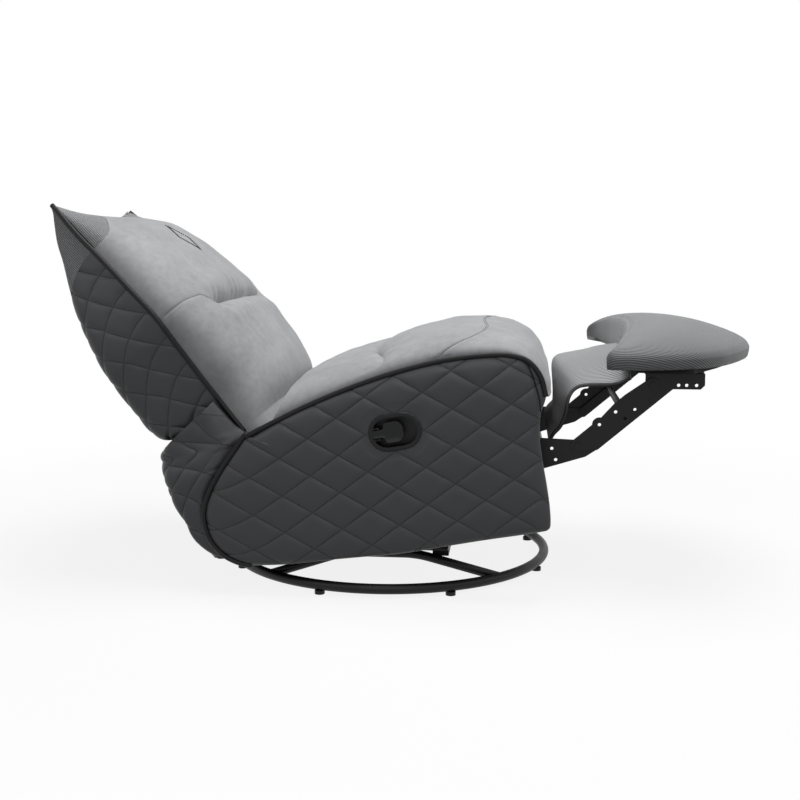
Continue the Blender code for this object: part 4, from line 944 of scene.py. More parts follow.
@dataclass
class Chair:
    """The frame that was loaded, and where its swivel stands."""

    frame: dict[str, object]
    swivel: Vector = field(init=False)

    def __post_init__(self) -> None:
        """Reads the swivel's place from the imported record."""
        found = next(joint for joint in self.frame["joints"] if joint["name"] == "swivel")
        self.swivel = Vector((found["pos_m"][0], found["pos_m"][1], 0.0))

    def place(
        self, piece: bpy.types.Object, finish: Finish, body: str, slot: Slot,
        stands_for: Iterable[str] = (), fill: float | None = None,
    ) -> None:
        """Moves a piece from the swivel's frame to the chair's, dresses it and lets it ride.

        Args:
            piece: The piece, laid out from the swivel axis.
            finish: Its finish.
            body: The body it rides on.
            slot: The record's slot; not used.
            stands_for: The CAD nodes that it replaces.
            fill: How tight it is stuffed, where it is a padded piece; not used.
        """
        piece.data.transform(Matrix.Translation(self.swivel))
        piece.data.materials.append(finish.material())
        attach(piece, body)
        if stands_for:
            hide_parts(*stands_for)
        log.info("%s rides on %s with %d faces", piece.name, body, len(piece.data.polygons))

    def redress(self, nodes: Iterable[str], finish: Finish, bevel: float) -> None:
        """Gives CAD nodes their finish, and softens their edges.

        Args:
            nodes: The nodes' names.
            finish: Their finish.
            bevel: The width of the bevel on their edges.
        """
        for node in nodes:
            piece = self.frame["nodes"][node]
            piece.data.materials.clear()
            piece.data.materials.append(finish.material())
            modifier = piece.modifiers.new("edge_round", "BEVEL")
            modifier.width = bevel
            modifier.segments = 2
            modifier.limit_method = "ANGLE"
            modifier.angle_limit = math.radians(40.0)
            log.info("%s keeps its shape", node)


@dataclass
class BaseFrame:
    """The ring on the floor with its feet, the bent rails, and the swivel and rocker on them."""

    chair: Chair
    ring_radius: float = 0.365
    tube_radius: float = 0.011
    ring_height: float = 0.0193
    rail_radius: float = 0.010
    rail_x: float = 0.215
    rail_half: float = 0.080
    rail_height: float = 0.058
    rail_bend: float = 0.030
    front_turn: float = math.radians(47.0)
    rear_turn: float = math.radians(41.0)
    ring_steps: int = 256
    ring_sides: int = 32
    rail_sides: int = 28
    bend_steps: int = 24
    feet: int = 8
    foot_bevel: float = 0.0015
    plate_bevel: float = 0.0008

    def build(self) -> None:
        """Makes round tubes in place of the faceted ones, and dresses the plates."""
        turns = np.linspace(0.0, 2.0 * math.pi, self.ring_steps, endpoint=False)
        path = self.ring_radius * np.stack([np.cos(turns), np.sin(turns), 0 * turns], axis=1)
        path[:, 2] = self.ring_height
        ring = tube(path, self.tube_radius, self.ring_sides, closed=True)
        self.chair.place(ring.build("ring_tube"), PAINT, "base", Slot.STEEL, ["base_ring"])
        for side in Side:
            rail = tube(self.rail_path(side), self.rail_radius, self.rail_sides)
            piece = rail.build(f"bent_rail_{side.word}")
            self.chair.place(piece, PAINT, "base", Slot.STEEL, [f"base_rail_{side.word}"])
        feet = [f"foot_{number}" for number in range(1, self.feet + 1)]
        self.chair.redress(feet, PLASTIC, self.foot_bevel)
        plates = ["base_channel_front", "base_channel_rear", "base_plate", "turntable"]
        plates += [f"rocker_{part}_{side.word}" for part in ("stand", "hanger") for side in Side]
        plates += ["cross_tube_front", "cross_tube_rear"]
        self.chair.redress(plates, PAINT, self.plate_bevel)
        self.chair.redress(["swivel_bearing", "swivel_pin"], ZINC, self.plate_bevel)

    def rail_path(self, side: Side) -> np.ndarray:
        """From the ring up to the straight stretch beside the swivel and down again.

        Args:
            side: The rail's side.

        Returns:
            The path's points.
        """
        ends = [
            (self.ring_radius * math.cos(turn), -self.ring_radius * math.sin(turn), self.ring_height)
            for turn in (self.front_turn, -self.rear_turn)
        ]
        straight = [(self.rail_x, y, self.rail_height) for y in (-self.rail_half, self.rail_half)]
        corners = np.array([ends[0], *straight, ends[1]]) * [side.value, 1.0, 1.0]
        path = [corners[:1]]
        for before, corner, after in zip(corners, corners[1:], corners[2:]):
            first, last = (
                corner + (end - corner) / np.linalg.norm(end - corner) * self.rail_bend
                for end in (before, after)
            )
            t = np.linspace(0.0, 1.0, self.bend_steps)[:, None]
            path.append((1 - t) ** 2 * first + 2 * t * (1 - t) * corner + t * t * last)
        path.append(corners[-1:])
        return np.vstack(path)


@dataclass
class Mechanism:
    """The steel under the seat and behind the footrest, and the boards that carry the pads."""

    chair: Chair
    link_bevel: float = 0.0006
    tube_bevel: float = 0.0008
    board_bevel: float = 0.0012

    def build(self) -> None:
        """Dresses the linkage, which keeps its shape."""
        parts = (
            "mechanism_plate", "recline_arm", "back_bracket", "lower_link", "upper_link",
            "rear_link", "footrest_bracket",
        )
        links = [f"{part}_{side.word}" for side in Side for part in parts]
        self.chair.redress(links, PAINT, self.link_bevel)
        tubes = ["seat_rail_front", "seat_rail_rear", "footrest_spreader"]
        self.chair.redress(tubes, PAINT, self.tube_bevel)
        self.chair.redress(["footrest_shaft"], ZINC, self.tube_bevel)
        self.chair.redress(["seat_deck", "footrest_board"], DUST_COVER, self.board_bevel)


@dataclass
class SeatCushion:
    """The seat: one crowned cushion that rolls over its front edge, tufted across the middle.

    A station counts from 0 at the cushion's rear end to 10 at its front foot.
    """

    chair: Chair
    half_width: float = 0.365
    power: float = 2.7
    rows: int = 460
    columns: int = 301
    stations: float = 10.0
    hollow: float = 0.1350
    middle: Place = (0.0, -0.07, 0.40)

    rear_end_share: Rows = ((0.815, 0.632),)
    crown_shares: Rows = (
        (0.755, 0.790), (0.680, 0.838), (0.591, 0.875), (0.499, 0.916), (0.393, 0.962),
        (0.285, 0.991), (0.174, 0.987), (0.092, 0.957), (0.037, 0.898), (0.008, 0.817),
        (0.000, 0.752),
    )

    # The tuft: its station by share of the half width, how strong it is, and its folds.
    crease_rows: Rows = (
        (0.0, 2.50), (0.22, 2.53), (0.44, 2.66), (0.67, 3.00), (0.84, 3.20), (0.92, 3.25),
        (0.955, 3.18), (0.975, 3.00), (1.0, 2.70),
    )
    strong_shares: Rows = ((0.0, 1.0), (0.50, 1.0), (0.84, 0.60), (0.95, 0.30), (0.985, 0.0))
    crease_station: float = 0.062
    crease: Groove = Groove(0.019, 0.0055)
    valley: Roll = Roll(-0.0045, 0.022)
    brow: Roll = Roll(0.0015, 0.030, place=0.050)
    gather: Groove = Groove(0.0013, 0.035)

    # The seam across the front: its station by share of the half width, and its form.
    seam_rows: Rows = (
        (0.0, 5.66), (0.30, 5.73), (0.56, 5.80), (0.77, 5.63), (0.91, 5.27), (0.97, 4.97),
        (0.997, 4.80),
    )
    seam_station: float = 0.085
    seam: Groove = Groove(0.0016, 0.0028)
    seam_lip: Roll = Roll(0.0012, 0.008, place=0.010)
    stitch_offset: float = 0.026

    slack: float = 0.0011
    border_share: float = 0.004

    def build(self) -> None:
        """Builds and dresses the cushion, and sews its seam."""
        top, across, station = self.top()
        top = self.relief(top, across, station)
        maker = MeshMaker()
        numbers = maker.add_grid(top)
        maker.close_under(numbers, top, self.middle)
        piece = maker.build("seat_pad")
        self.chair.place(piece, SUEDE, "seat", Slot.SUEDE, ["seat_cushion"], fill=0.75)
        self.sew(top, across)

    def top(self) -> tuple[np.ndarray, np.ndarray, np.ndarray]:
        """Lays out the upper face without its relief.

        Returns:
            Its points, with each one's share of the half width and its station.
        """
        edge = spline(body_points((*self.rear_end_share, *PIPING_SHARES)), self.rows)
        crest = spline(body_points(self.crown_shares), self.rows)
        turn = np.linspace(-math.pi / 2, math.pi / 2, self.columns)
        across = np.sin(turn)[None, :] * np.ones((self.rows, 1))
        station = np.linspace(0.0, self.stations, self.rows)[:, None] * np.ones((1, self.columns))
        rise = crown(across, self.power)[..., None]
        flat = edge[:, None, :] + (crest - edge)[:, None, :] * rise
        grid = np.concatenate([(across * self.half_width)[..., None], flat], axis=-1)
        return grid, across, station

    def relief(self, top: np.ndarray, across: np.ndarray, station: np.ndarray) -> np.ndarray:
        """Adds the tuft's crease, the slack folds beside it and the groove of the seam.

        Args:
            top: The plain upper face's points.
            across: Their shares of the half width.
            station: Their stations.

        Returns:
            The face's final points.
        """
        away = np.abs(across)
        gone = (station - curve_at(self.crease_rows, away)) * self.crease_station
        strong = np.interp(away, *np.array(self.strong_shares).T)
        # Gathers of uneven width: one wave across the seat, pushed about by a slower one.
        folds = np.sin(across * 31.0 + 2.1 * np.sin(across * 9.0 + 1.0))
        lift = self.crease.at(gone) + self.valley.at(gone) + self.brow.at(gone)
        lift = strong * (lift - folds * self.gather.at(gone))
        seam = np.abs(station - curve_at(self.seam_rows, away)) * self.seam_station
        lift += self.seam.at(seam) + self.seam_lip.at(seam)
        # Slack cloth: two slow waves that cross at a slant.
        slack = np.sin(station * 5.3 + across * 3.0) * np.sin(across * 7.0 - station * 1.7)
        lift += self.slack * slack * (1.0 - away**4)
        lift *= np.clip((1.0 - away) / self.border_share, 0.0, 1.0)
        return kept_out(top + self.normals(top) * lift[..., None], self.hollow)

    def normals(self, top: np.ndarray) -> np.ndarray:
        """Normals that point up."""
        normal = normals_of(top)
        return normal * np.sign(normal[..., 2].mean())

    def sew(self, top: np.ndarray, across: np.ndarray) -> None:
        """Sews the two rows of stitches along the seam that crosses the seat's front.

        Args:
            top: The upper face's points.
            across: Their shares of the half width.
        """
        normal = self.normals(top)
        steps = np.linspace(0.0, self.stations - 0.001, self.rows)
        column = np.arange(self.columns)
        for number, offset in enumerate((-self.stitch_offset, self.stitch_offset)):
            where = curve_at(self.seam_rows, np.abs(across[0])) + offset
            low = np.searchsorted(steps, where) - 1
            share = ((where - steps[low]) / (steps[1] - steps[0]))[:, None]
            path = top[low, column] * (1 - share) + top[low + 1, column] * share
            row = Thread().sew(path, normal[low, column]).build(f"seat_stitches_{number + 1}")
            self.chair.place(row, THREAD, "seat", Slot.SUEDE)


@dataclass
class SidePanel:
    """A quilted, padded side panel with piping round it."""

    chair: Chair
    side: Side
    inside: float = 0.325
    edge: float = 0.362
    bulge: float = 0.018
    bulge_power: float = 10.0
    around: int = 640
    inner_rings: int = 8
    outer_rings: int = 200
    rim_share: float = 0.985
    ring_power: float = 1.35

    rear_shares: Rows = (
        (0.867, 0.591), (0.876, 0.600), (0.908, 0.542), (0.944, 0.476), (0.981, 0.392),
        (1.000, 0.316), (0.997, 0.250), (0.979, 0.194), (0.944, 0.147), (0.903, 0.121),
        (0.862, 0.110),
    )
    bottom_shares: Rows = (
        (0.755, 0.117), (0.653, 0.135), (0.542, 0.152), (0.421, 0.171), (0.289, 0.203),
        (0.190, 0.227), (0.093, 0.248), (0.030, 0.263), (0.010, 0.271),
    )
    front_shares: Rows = (
        (0.003, 0.291), (0.006, 0.357), (0.016, 0.441), (0.029, 0.530), (0.037, 0.610),
        (0.036, 0.690),
    )
    mean_radius: float = 0.30
    soften_share: float = 0.30
    soften_steps: int = 24

    # The quilting: a crossing of its lines, the steps from it to the next ones, and how the lines
    # drop towards the front edge and are drawn up at the rear one, by height.
    quilting: Quilting = Quilting(0.0035, 0.065, 0.006, 0.45)
    crossing: Range = (0.1231, 0.1827)
    first_step: Range = (-0.0579, 0.0448)
    second_step: Range = (-0.0618, -0.0330)
    front_drop: float = 0.022
    front_reach: float = 0.040
    rear_pull: Rows = ((0.10, 0.70), (0.22, 0.65), (0.34, 0.38))
    rear_reach: float = 0.065
    border_width: float = 0.008

    # The dart that runs down from the piping's front end, and its stitches behind it.
    dart_line: Rows = (
        (-0.3130, 0.5130), (-0.3235, 0.4870), (-0.3325, 0.4620), (-0.3420, 0.4300),
        (-0.3465, 0.4010), (-0.3500, 0.3650),
    )
    dart: Groove = Groove(0.0042, 0.0028)
    dart_fade_share: float = 0.45
    # The black cord along the dart's seam, painted shade in its groove: its radius and how far it
    # stands proud.
    dart_shade_cord: float = 0.0013
    dart_proud: float = 0.0012
    stitch_offset: float = 0.0050
    stitch_proud: float = 0.0002

    # The place pressed flat for the lever's bezel, and the hole for its cup.
    bezel_half: float = 0.017
    bezel_radius: float = 0.039
    bezel_ring: float = 0.020
    bezel_under: float = 0.0006
    bezel_power: float = 0.7
    cup_clear: float = 0.0045
    cup_floor: float = 0.345

    piping_radius: float = 0.0052
    piping_out: float = 0.0065
    piping_end_share: Rows = ((0.867, 0.600),)

    def outline(self) -> np.ndarray:
        """The panel's outline in even steps, from the front end of its piping round the rear."""
        shares = (*PIPING_SHARES[::-1], *self.rear_shares, *self.bottom_shares, *self.front_shares)
        return even_steps(spline(body_points(shares), 1200, closed=True), self.around, closed=True)

    def quilt(self, place: np.ndarray) -> np.ndarray:
        """The quilt's two coordinates, whole on the stitch lines.

        Args:
            place: The (y, z) places to read it at.

        Returns:
            A pair of coordinates at each place.
        """
        (a, b), (c, d) = self.first_step, self.second_step
        away = place - self.crossing
        reach = self.front_reach
        near = np.clip((reach - (place[..., 0] + BODY_FRONT)) / reach, 0.0, 1.0)
        away[..., 1] += self.front_drop * near**2
        turn = a * d - b * c
        i = (away[..., 0] * d - away[..., 1] * c) / turn
        j = (a * away[..., 1] - b * away[..., 0]) / turn
        rear = body_points(self.rear_shares[1:])[::-1]
        inset = np.interp(place[..., 1], rear[:, 1], rear[:, 0]) - place[..., 0]
        pull = np.interp(place[..., 1], *np.array(self.rear_pull).T)
        j = j + pull * np.exp(-np.clip(inset, 0.0, None) / self.rear_reach)
        return np.stack([i, j], axis=-1)

    def build(self) -> None:
        """Builds the panel and its piping."""
        line = self.outline()
        centre = line.mean(axis=0)
        inner = np.linspace(0.0, self.rim_share, self.inner_rings)
        outer = 1.0 - np.linspace(0.0, 1.0, self.outer_rings) ** self.ring_power
        shrink = np.concatenate([inner, [(1.0 + self.rim_share) / 2], outer])[:, None]
        depth = np.concatenate(
            [np.full(self.inner_rings, self.inside), [(self.inside + self.edge) / 2],
             self.edge + self.bulge * np.sqrt(1.0 - outer**self.bulge_power)]
        )
        turns = range(-self.soften_steps, self.soften_steps + 1)
        soft = np.mean([np.roll(line, step, axis=0) for step in turns], axis=0)
        inward = eased(np.clip((1.0 - shrink) / self.soften_share, 0.0, 1.0))
        lines = line + (soft - line) * inward[..., None]
        flat = centre + (lines - centre) * shrink[..., None]
        x = depth[:, None] * np.ones((1, len(line)))
        quilt = self.quilt(flat)
        border = 1.0 - np.exp((shrink - 1.0) * self.mean_radius / self.border_width)
        for change in (self.quilting.at(quilt) * border, -self.dart_fall(flat)):
            x = np.where(x > self.edge, x + change, x)
        if self.side is Side.RIGHT:
            x = self.make_room(x, flat)
        grid = np.concatenate([(self.side.value * x)[..., None], flat], axis=-1)
        maker = MeshMaker()
        maker.add_grid(grid, quilt, wrap=True)
        piece = maker.build(f"quilted_panel_{self.side.word}")
        stands_for = [f"side_panel_{self.side.word}"]
        self.chair.place(piece, LEATHER, "seat", Slot.LEATHER, stands_for, fill=0.6)
        self.pipe()
        first = self.inner_rings + 1
        self.sew_dart(x[first:], flat[first:])

    def dart_fall(self, flat: np.ndarray) -> np.ndarray:
        """How far the leather sinks at the dart that runs down from the piping's front end.

        Args:
            flat: The face's (y, z) points.

        Returns:
            The fall at each point.
        """
        line = spline(self.dart_line, 40)
        away = np.linalg.norm(flat[..., None, :] - line, axis=-1)
        left = (len(line) - away.argmin(axis=-1)) / len(line)
        return -np.clip(left / self.dart_fade_share, 0.0, 1.0) * self.dart.at(away.min(axis=-1))

    def sew_dart(self, x: np.ndarray, flat: np.ndarray) -> None:
        """Lays a black cord along the dart's seam as painted shade in its groove, and a row of
        stitches behind it.

        Args:
            x: How far out the face's points are.
            flat: Their (y, z) places.
        """
        # The seam stops short of both of the dart's ends.
        line = spline(self.dart_line, 60)[2:48]
        places, depths = flat.reshape(-1, 2), x.ravel()
        outward = np.tile([float(self.side.value), 0.0, 0.0], (len(line), 1))
        for word, offset, proud in (
            ("seam", 0.0, self.dart_proud), ("stitches", self.stitch_offset, self.stitch_proud),
        ):
            moved = line + [offset, 0.0]
            near = [np.linalg.norm(places - point, axis=1).argmin() for point in moved]
            face = self.side.value * (depths[near] + proud)
            path = np.concatenate([face[:, None], moved], axis=1)
            seam = word == "seam"
            # The seam is real; its black vinyl cord is painted shade in the dart's groove.
            maker = tube(path, self.dart_shade_cord, 8) if seam else Thread().sew(path, outward)
            row = maker.build(f"dart_{word}_{self.side.word}")
            self.chair.place(row, PIPING if seam else THREAD, "seat", Slot.LEATHER)

    def make_room(self, x: np.ndarray, flat: np.ndarray) -> np.ndarray:
        """Presses the quilting flat round the lever's bezel, and sinks it under the cup.

        Args:
            x: How far out the panel's points are.
            flat: Their (y, z) places.

        Returns:
            How far out they are afterwards.
        """
        away = flat - [LEVER_Y, LEVER_Z]
        along = -away[..., 0] * math.cos(LEVER_TILT) + away[..., 1] * math.sin(LEVER_TILT)
        up = away[..., 0] * math.sin(LEVER_TILT) + away[..., 1] * math.cos(LEVER_TILT)
        reach = np.maximum(np.abs(along) - self.bezel_half, 0.0)
        off = np.hypot(reach, up) - self.bezel_radius
        press = np.clip(1.0 - off / self.bezel_ring, 0.0, 1.0) ** self.bezel_power
        face = self.edge + self.bulge - self.bezel_under
        level = np.where(x > self.edge, x + (face - x) * press, x)
        return np.where((off < -self.cup_clear) & (x > self.edge), self.cup_floor, level)

    def pipe(self) -> None:
        """Sews the piping along the top, down the rear edge and at the front end."""
        top = spline(body_points((*self.piping_end_share, *PIPING_SHARES)), 160)
        rear = spline(body_points(self.rear_shares), 90)
        out = self.side.value * (self.edge + self.piping_out)
        for word, path in (("top", top), ("rear", rear)):
            points = np.concatenate([np.full((len(path), 1), out), path], axis=1)
            cord = tube(points, self.piping_radius, 16)
            piece = cord.build(f"panel_piping_{word}_{self.side.word}")
            self.chair.place(piece, PIPING, "seat", Slot.LEATHER)


@dataclass
class RearSkirt:
    """The quilted pocket behind the seat that the back's foot goes down into."""

    chair: Chair
    thickness: float = 0.010
    inward_way: Range = (1.0, -0.3)
    columns: int = 420
    rows: int = 200

    # The rear and front boundaries, each with its points' shares of the pocket's height, and
    # the half width by the same shares.
    rear_shares: Rows = (
        (0.995, 0.115), (1.050, 0.186), (1.083, 0.258), (1.116, 0.328), (1.139, 0.388),
        (1.154, 0.446), (1.158, 0.495), (1.138, 0.527),
    )
    rear_height_shares: Sequence[float] = (0.0, 0.15, 0.30, 0.44, 0.58, 0.72, 0.88, 1.0)
    front_line: Rows = (
        (0.288, 0.069), (0.319, 0.085), (0.345, 0.111), (0.358, 0.143), (0.360, 0.181),
        (0.346, 0.224), (0.319, 0.272), (0.293, 0.310), (0.272, 0.338), (0.296, 0.357),
        (0.343, 0.409),
    )
    front_height_shares: Sequence[float] = (
        0.0, 0.08, 0.16, 0.25, 0.34, 0.45, 0.58, 0.70, 0.79, 0.86, 1.0,
    )
    width_rows: Rows = ((0.0, 0.338), (0.25, 0.347), (0.60, 0.347), (0.80, 0.337), (1.0, 0.3375))
    side_power: float = 0.15
    depth_power: float = 0.22

    # The quilting: how far apart its lines are round the pocket and up it, and how they climb
    # away from the panel, by height.
    quilting: Quilting = Quilting(0.0046, 0.062, 0.008, 0.5)
    cell_round: float = 0.058
    cell_up: float = 0.066
    line_height: float = 0.246
    climb_slopes: Rows = ((0.19, 0.60), (0.25, 0.33), (0.315, 0.13))
    climb_reach: float = 0.11
    side_lip: float = 0.010
    top_lip_share: float = 0.03

    bottom_half: float = 0.321
    bottom_y: Range = (0.128, 0.447)
    bottom_z: Range = (0.219, 0.216)
    bottom_sag: float = 0.006

    def build(self) -> None:
        """Builds the pocket, its welt and its quilting."""
        height = np.linspace(0.0, 1.0, self.rows)
        rear = self.along(body_points(self.rear_shares), self.rear_height_shares, height)
        front = self.along(np.array(self.front_line), self.front_height_shares, height)
        turn = np.linspace(0.0, math.pi, self.columns)
        # The columns crowd a little towards both ends, beside the panels.
        turn = math.pi * (0.5 - 0.5 * np.cos(turn)) * 0.5 + turn * 0.5
        across = -np.sign(np.cos(turn)) * np.abs(np.cos(turn)) ** self.side_power
        depth = np.clip(np.sin(turn), 0.0, 1.0) ** self.depth_power
        depth[[0, -1]] = 0.0
        half = curve_at(self.width_rows, height)[:, None]
        outer = front[:, None] + (rear - front)[:, None] * depth[None, :, None]
        grid = np.concatenate([(across[None] * half)[..., None], outer], axis=-1)
        drawn = outer - depth[:, None] * self.inward_way * self.thickness
        narrow = across[None] * (half - self.thickness)
        inner = np.concatenate([narrow[..., None], drawn], axis=-1)
        gone = run_along(grid, axis=1)
        gone = np.minimum(gone, gone[:, -1:] - gone)
        slope = np.interp(grid[..., 2], *np.array(self.climb_slopes).T) * self.climb_reach
        climb = grid[..., 2] - slope * (1.0 - np.exp(-gone / self.climb_reach)) - self.line_height
        quilt = np.stack([gone / self.cell_round, climb / self.cell_up], axis=-1)
        normal = normals_of(grid)
        normal *= np.sign(normal[self.rows // 2, self.columns // 2, 1]) or 1.0
        lip = np.clip((1.0 - height) / self.top_lip_share, 0.0, 1.0)[:, None]
        lip = lip * np.clip(gone / self.side_lip, 0.0, 1.0)
        face = grid + normal * (self.quilting.at(quilt) * lip)[..., None]
        maker = sheet_of(face, inner, quilt)
        self.close_bottom(maker)
        piece = maker.build("quilted_pocket")
        self.chair.place(piece, LEATHER, "seat", Slot.LEATHER, ["rear_skirt"], fill=0.5)

    def close_bottom(self, maker: MeshMaker) -> None:
        """Adds the cloth that closes the body under the back's foot, so that no light comes up.

        Args:
            maker: The pocket's mesh.
        """
        x, y = np.meshgrid(
            np.linspace(-self.bottom_half, self.bottom_half, 33), np.linspace(*self.bottom_y, 17),
            indexing="ij",
        )
        sag = self.bottom_sag * (1.0 - (x / self.bottom_half) ** 2)
        upper, lower = (np.stack([x, y, height - sag], axis=-1) for height in self.bottom_z)
        maker.stitch_border(maker.add_grid(upper), maker.add_grid(lower, flip=True))

    def along(self, points: np.ndarray, heights: Sequence[float], where: np.ndarray) -> np.ndarray:
        """Reads a line, whose points have their shares of the height, at other shares."""
        columns = [curve_at(list(zip(heights, points[:, k])), where) for k in range(2)]
        return np.stack(columns, axis=1)


@dataclass(frozen=True)
class StitchFamily:
    """One family of curved stitch lines on the back's quilted side.

    A line climbs by slope * d + curve * d**2, with d its way behind the piping plus an offset,
    and runs on straight beyond the reach.
    """

    place: float
    pitch: float
    slope: float
    curve: float
    offset: float
    reach: float
    slope_beyond: float

    def at(self, along: np.ndarray, rear: np.ndarray) -> np.ndarray:
        """The quilt coordinate that is whole on the family's lines.

        Args:
            along: How far points lie up the piping.
            rear: How far they lie behind it, over the surface.

        Returns:
            The coordinate at each point.
        """
        near = np.minimum(rear, self.reach) + self.offset
        shift = self.slope * near + self.curve * near**2
        shift = shift + self.slope_beyond * np.maximum(rear - self.reach, 0.0)
        return (self.place - along + shift) / self.pitch


@dataclass
class BackRest:
    """The back: two pillows in front, quilted sides and rear, and ribbed ears.

    Rows with a share of the length give the value there: a share of the full size, or metres.
    """

    chair: Chair
    foot_half: float = 0.312
    half: float = 0.345
    ear_half: float = 0.246
    widest_share: float = 0.45
    narrowing_power: float = 1.4
    depth: float = 0.164
    least_depth: float = 0.003
    crown_depth: float = 0.146
    crown_power: float = 2.7
    cloth: float = 0.001
    foot_round: float = 0.1315

    width_shares: Rows = (
        (0.0, 0.0), (0.06, 0.0), (0.13, 0.06), (0.20, 0.30), (0.31, 0.62), (0.42, 1.0),
    )
    depth_shares: Rows = (
        (0.062, 0.70), (0.100, 0.78), (0.129, 0.82), (0.160, 0.95), (0.20, 1.0), (0.27, 0.985),
        (0.36, 0.945), (0.45, 0.89), (0.56, 0.79), (0.634, 0.705), (0.697, 0.61), (0.742, 0.53),
        (0.812, 0.395), (0.886, 0.275), (0.938, 0.145), (0.967, 0.065), (0.99, 0.03),
    )
    bow_rows: Rows = (
        (0.0, 0.0), (0.10, -0.004), (0.20, -0.011), (0.33, -0.022), (0.46, -0.032),
        (0.58, -0.027), (0.68, -0.021), (0.75, -0.016), (0.83, -0.009), (0.90, -0.005),
        (0.95, -0.003), (1.0, 0.0),
    )
    crown_shares: Rows = (
        (0.005, 0.66), (0.05, 0.81), (0.10, 0.90), (0.18, 0.965), (0.27, 0.99), (0.35, 0.985),
        (0.40, 0.955), (0.45, 0.945), (0.53, 0.915), (0.62, 0.87), (0.71, 0.785), (0.80, 0.64),
        (0.88, 0.42), (0.94, 0.20), (0.98, 0.06),
    )

    # The top edge sinks between the ears, from this share of the length up.
    ear_dip: float = 0.034
    dip_share: float = 0.8
    dip_flat_share: float = 0.3
    dip_power: float = 1.6

    # The seam between the pillows by share of the half width, and the tuft in its middle.
    seam_shares: Rows = (
        (0.0, 0.402), (0.156, 0.400), (0.442, 0.402), (0.679, 0.406), (0.734, 0.430),
        (0.82, 0.438), (0.908, 0.443), (1.0, 0.442),
    )
    seam: Groove = Groove(0.0022, 0.003)
    tuft: Groove = Groove(0.030, 0.010)
    tuft_share: float = 0.58
    tuft_fade_share: float = 0.13
    brow: Roll = Roll(0.004, 0.03, place=0.045)
    gather: float = 0.0019
    gather_reach: float = 0.040
    gather_start: float = 0.012
    slack: float = 0.0012
    border_share: float = 0.004

    # Where the pillows start and end, and the seam that parts the head pillow from the ears.
    pillow_rows: int = 230
    pillow_columns: int = 281
    pillow_ease: float = 1.15
    foot_share: float = -0.034
    top_share: float = 0.98
    ear_share: float = 0.768
    ear_seam_shares: Rows = (
        (0.768, 1.0), (0.784, 0.924), (0.814, 0.846), (0.833, 0.801), (0.90, 0.66), (0.985, 0.54),
    )
    ear_columns: int = 60
    ear_ease: float = 0.7
    pillow_core: float = 0.004

    # The rhombus: where its middle is, and its half length and half width.
    rhombus_share: float = 0.6865
    rhombus_half_shares: Range = (0.0785, 0.13)
    rhombus_outline_shares: Range = (1.0, 0.86)
    rhombus_steps: int = 241
    rhombus_slope_shares: Range = (0.002, 0.004)
    rhombus_thread: Thread = Thread(radius=0.0010)
    rhombus_proud: float = 0.0002

    # The shell: its section, its ear seam by the distance behind the piping, and its quilting.
    shell_rows: int = 200
    shell_columns: int = 520
    section_power: float = 2.0 / 11.0
    section_rear_share: float = 1.02
    section_size: Range = (0.34, 0.15)
    shell_shares: Range = (0.045, 0.99)
    ear_side_rows: Rows = (
        (-0.02, 0.5027), (-0.0049, 0.5026), (0.0106, 0.5024), (0.0261, 0.5005), (0.0423, 0.4961),
        (0.0568, 0.4900), (0.0705, 0.4800), (0.081, 0.4704), (0.10, 0.455),
    )
    ear_side_depth: float = 0.092
    side_from_share: float = 0.9
    falling: StitchFamily = StitchFamily(0.4557, 0.0668, 0.0, -3.83, 0.02, 0.1, -0.92)
    rising: StitchFamily = StitchFamily(0.4251, 0.096, 1.15, 2.5, 0.015, 0.08, 1.1)
    quilting: Quilting = Quilting(0.0038, 0.065, 0.006, 0.55)
    quilt_lip: float = 0.012

    piping_radius: float = 0.0056
    piping_out: float = 0.0036
    piping_end_share: float = 0.985
    piping_steps: int = 220
    piping_sides: int = 16

    def half_width(self, share: np.ndarray) -> np.ndarray:
        """The half width at the piping, from the narrow foot to the ears.

        Args:
            share: Shares of the back's length.

        Returns:
            The half width at each.
        """
        grown = self.foot_half + (self.half - self.foot_half) * curve_at(self.width_shares, share)
        above = np.clip((share - self.widest_share) / (1.0 - self.widest_share), 0.0, 1.0)
        drawn = self.half + (self.ear_half - self.half) * above**self.narrowing_power
        return np.where(share <= self.widest_share, grown, drawn)

    def dip(self, share: np.ndarray, across: np.ndarray) -> np.ndarray:
        """How far the top edge sinks between the ears.

        Args:
            share: Shares of the back's length.
            across: Shares of its half width.

        Returns:
            The fall at each point.
        """
        outer = np.clip((np.abs(across) - self.dip_flat_share) / (1.0 - self.dip_flat_share), 0.0, 1.0)
        up = np.clip((share - self.dip_share) / (1.0 - self.dip_share), 0.0, None)
        return self.ear_dip * up * (1.0 - outer**self.dip_power)

    def front(self, share: np.ndarray, across: np.ndarray) -> np.ndarray:
        """The pillows' front face.

        Args:
            share: Shares of the back's length.
            across: Shares of its half width.

        Returns:
            The face's points.
        """
        rise = crown(across, self.crown_power)
        ahead = self.crown_depth * np.clip(curve_at(self.crown_shares, share), 0.0, None) * rise
        bow = curve_at(self.bow_rows, share) * (1.0 - rise)
        along = share * BACK_LENGTH - self.dip(share, across)
        grid = back_points(across * self.half_width(share), along, bow - ahead - self.cloth)
        return kept_in(grid, self.foot_round)

